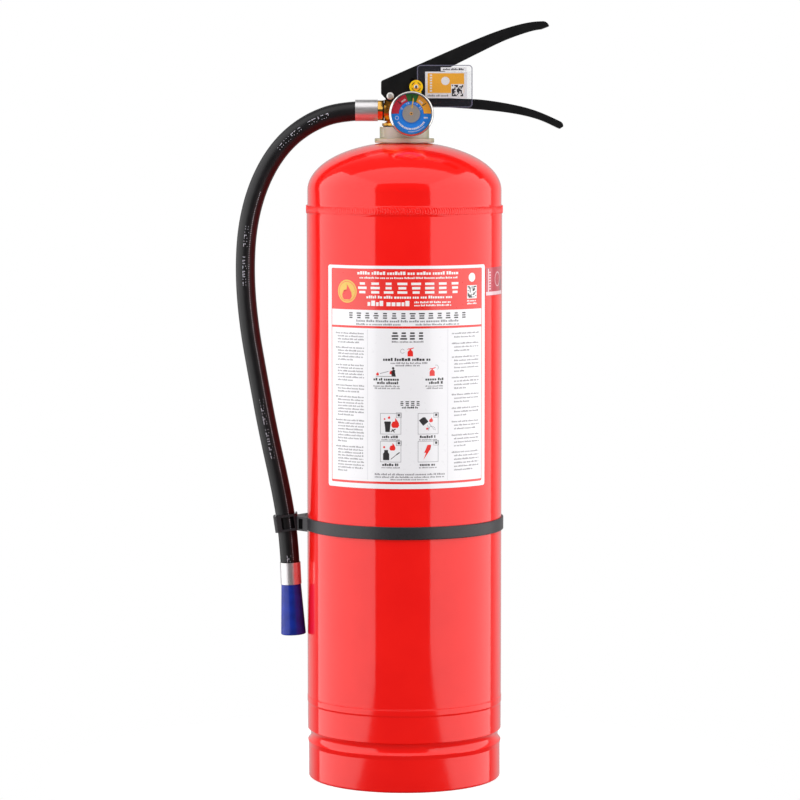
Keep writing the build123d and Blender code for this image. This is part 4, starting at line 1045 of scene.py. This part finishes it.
def card_layer(name, shapes, material, layer):
    return ink(name, shapes, material, facing_front(CARD[0], CARD_Y - layer * LAYER, CARD[1]),
               body="tag")


card_layer("card_orange_field", [rect(-15.0, -6.6, 14.6, 9.4)], ORANGE_INK, 1)
card_white = [disc(-0.6, 3.2, 3.4, 24)]
card_white += [rect(-13.2, -5.4 + 2.1 * i, -11.4, -4.2 + 2.1 * i) for i in range(7)]
card_white.append(rect(4.0, -9.8, 14.4, 0.6))
card_layer("card_white_print", card_white, WHITE_INK, 2)
card_layer("card_patch_print", checker(4.6, -9.2, 9.2, 9, rng), DARK_INK, 3)
card_layer("card_grey_print", greeked(-15.0, 3.2, -9.4, 1.5, rng), GREY_INK, 1)

# the case's thicker edge shows as a grey line: a painted reflection of its clear rim, drawn as a grey band
rim_reflection = printed("painted_case_edge_reflection", "#77758c", 0.3)
rim_reflection.node_tree.nodes["Principled BSDF"].inputs["Alpha"].default_value = 0.55
case_low, case_high = (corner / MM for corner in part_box("tag_case"))
ink("case_edge", border(case_high.x - CASE_WIDE - CARD[0], case_low.z - CARD[1], case_high.x - CARD[0],
                        case_high.z - CARD[1], 3.0, 0.8),
    rim_reflection, facing_front(CARD[0], case_low.y - LAYER, CARD[1]), body="tag")

# a second slip lies behind the card against the case's back, and shows above it
BACK_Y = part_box("tag_case")[1].y / MM - 0.1
slip = facing_front(CARD[0], BACK_Y, CARD[1])
ink("slip_paper", [rect(-4.3, 11.2, 16.6, 14.2)], FILM, slip, body="tag")
slip_front = facing_front(CARD[0], BACK_Y - LAYER, CARD[1])
ink("slip_print", greeked(-2.6, 15.6, 11.9, 1.5, rng), DARK_INK, slip_front, body="tag")


# ---- hose print ----------------------------------------------------------------------------------

PRINT_PROUD = 0.06
PRINT_RUNS = ((40, 59), (65, 89), (158, 176), (183, 206), (301, 322), (326, 351), (432, 438))


def on_hose_line(along, round_by, lift):
    """Places millimetres along the hose, from its upper end, and round it from its front."""
    at = along * MM
    index = min(range(len(travel)), key=lambda i: abs(travel[i] - at))
    index = max(1, min(index, len(line) - 2))
    place, direction = on_hose(index, round_by * MM / HOSE_R, HOSE_R + (PRINT_PROUD + lift) * MM)
    return (place + tangents[index] * (at - travel[index])) / MM


def strokes(start, end, low, height, rng):
    """Small stand-in characters: fine strokes of uneven height, some joined by a foot."""
    shapes, at = [], start
    while at < end:
        shapes.append(rect(at, low, at + 0.6, low + height * rng.choice((0.6, 0.8, 1.0))))
        if rng.random() < 0.5 and at + 2.0 < end:
            shapes.append(rect(at + 0.6, low, at + 1.7, low + 0.6))
        at += rng.uniform(1.9, 2.7)
    return shapes


hose_marks = [mark for start, end in PRINT_RUNS for mark in strokes(start, end, -2.0, 3.4, rng)]
hose_print = ink("hose_print", hose_marks, printed("worn_white_ink", "#b9b7c2", 0.5, 0.1), on_hose_line,
                 1.0, "hose_line", 0.04)


# ---- camera, light and floor ---------------------------------------------------------------------

scene = bpy.context.scene
camera_data = bpy.data.cameras.new("camera")
camera_data.lens = 147.4
camera_data.sensor_width = 36
camera_data.clip_start = 0.05
camera = bpy.data.objects.new("camera", camera_data)
camera.location = (-0.0036, -2.684, 0.5384)
camera.rotation_euler = (math.radians(85.17), 0, 0)
scene.collection.objects.link(camera)
scene.camera = camera
scene.view_settings.view_transform = "Standard"


def softbox(name, place, turn, tall, long, watts):
    """A large soft panel. Its light leaves along its own -Z."""
    data = bpy.data.lights.new(name, "AREA")
    data.shape = "RECTANGLE"
    data.size = tall
    data.size_y = long
    data.energy = watts
    panel = bpy.data.objects.new(name, data)
    panel.location = place
    panel.rotation_euler = [math.radians(angle) for angle in turn]
    panel.visible_camera = False
    scene.collection.objects.link(panel)


softbox("left_softbox", (-1.3, -0.56, 0.85), (0, -90, 0), 2.3, 2.74, 33)
softbox("right_softbox", (1.3, -0.72, 0.85), (0, 90, 0), 2.3, 3.06, 36)
softbox("top_softbox", (0, -0.9, 1.98), (0, 0, 0), 2.6, 2.0, 20)

world = bpy.data.worlds.new("studio")
world.use_nodes = True
scene.world = world
tree = world.node_tree
tree.nodes.clear()
path = add(tree, "ShaderNodeLightPath")
seen = add(tree, "ShaderNodeBackground", {"Color": linear("#ffffff"), "Strength": 1.0})
# the paper sweep behind the object is bright, and the studio in front of it is dark
direction = add(tree, "ShaderNodeTexCoord")
depth = add(tree, "ShaderNodeSeparateXYZ", {"Vector": direction.outputs["Generated"]})
sweep = add(tree, "ShaderNodeMapRange",
            {"Value": depth.outputs["Y"], "From Min": 0.55, "From Max": 0.8, "To Min": 0.12, "To Max": 0.55})
FILL = 0.24                                     # soft light from all sides, which no reflection shows
fill = add(tree, "ShaderNodeMath", {0: path.outputs["Is Diffuse Ray"], 1: FILL}, operation="MULTIPLY")
level = add(tree, "ShaderNodeMath", {0: sweep.outputs["Result"], 1: fill.outputs[0]}, operation="ADD")
ambient = add(tree, "ShaderNodeBackground", {"Color": linear("#ffffff"), "Strength": level.outputs[0]})
mixed = add(tree, "ShaderNodeMixShader", {"Fac": path.outputs["Is Camera Ray"]})
tree.links.new(ambient.outputs[0], mixed.inputs[1])
tree.links.new(seen.outputs[0], mixed.inputs[2])
add(tree, "ShaderNodeOutputWorld", {"Surface": mixed.outputs[0]})

# the floor is pale and plain, and fades into the white surroundings with distance from the object
FLOOR = 3.0
corners = [(x * FLOOR, y * FLOOR, 0) for x, y in ((-1, -1), (1, -1), (1, 1), (-1, 1))]
floor_mesh = mesh_of("floor", corners, [(0, 1, 2, 3)], bpy.data.materials.new("floor_paper"))
floor = bpy.data.objects.new("floor", floor_mesh)
floor.location.z = -0.0002
floor.visible_glossy = False
floor.visible_diffuse = False
scene.collection.objects.link(floor)
paper = floor_mesh.materials[0]
paper.use_nodes = True
tree = paper.node_tree
tree.nodes.clear()
coordinate = add(tree, "ShaderNodeTexCoord")
distance = add(tree, "ShaderNodeVectorMath", {0: coordinate.outputs["Object"]}, operation="LENGTH")
fade = add(tree, "ShaderNodeMapRange", {"Value": distance.outputs["Value"], "From Min": 0.1, "From Max": 0.3})
matt = add(tree, "ShaderNodeBsdfDiffuse", {"Color": linear("#f4f4f4")})
clear = add(tree, "ShaderNodeBsdfTransparent")
glow = add(tree, "ShaderNodeEmission", {"Strength": 0.5})
lit = add(tree, "ShaderNodeAddShader", {0: matt.outputs[0], 1: glow.outputs[0]})
blend = add(tree, "ShaderNodeMixShader", {"Fac": fade.outputs["Result"]})
tree.links.new(lit.outputs[0], blend.inputs[1])
tree.links.new(clear.outputs[0], blend.inputs[2])
add(tree, "ShaderNodeOutputMaterial", {"Surface": blend.outputs[0]})
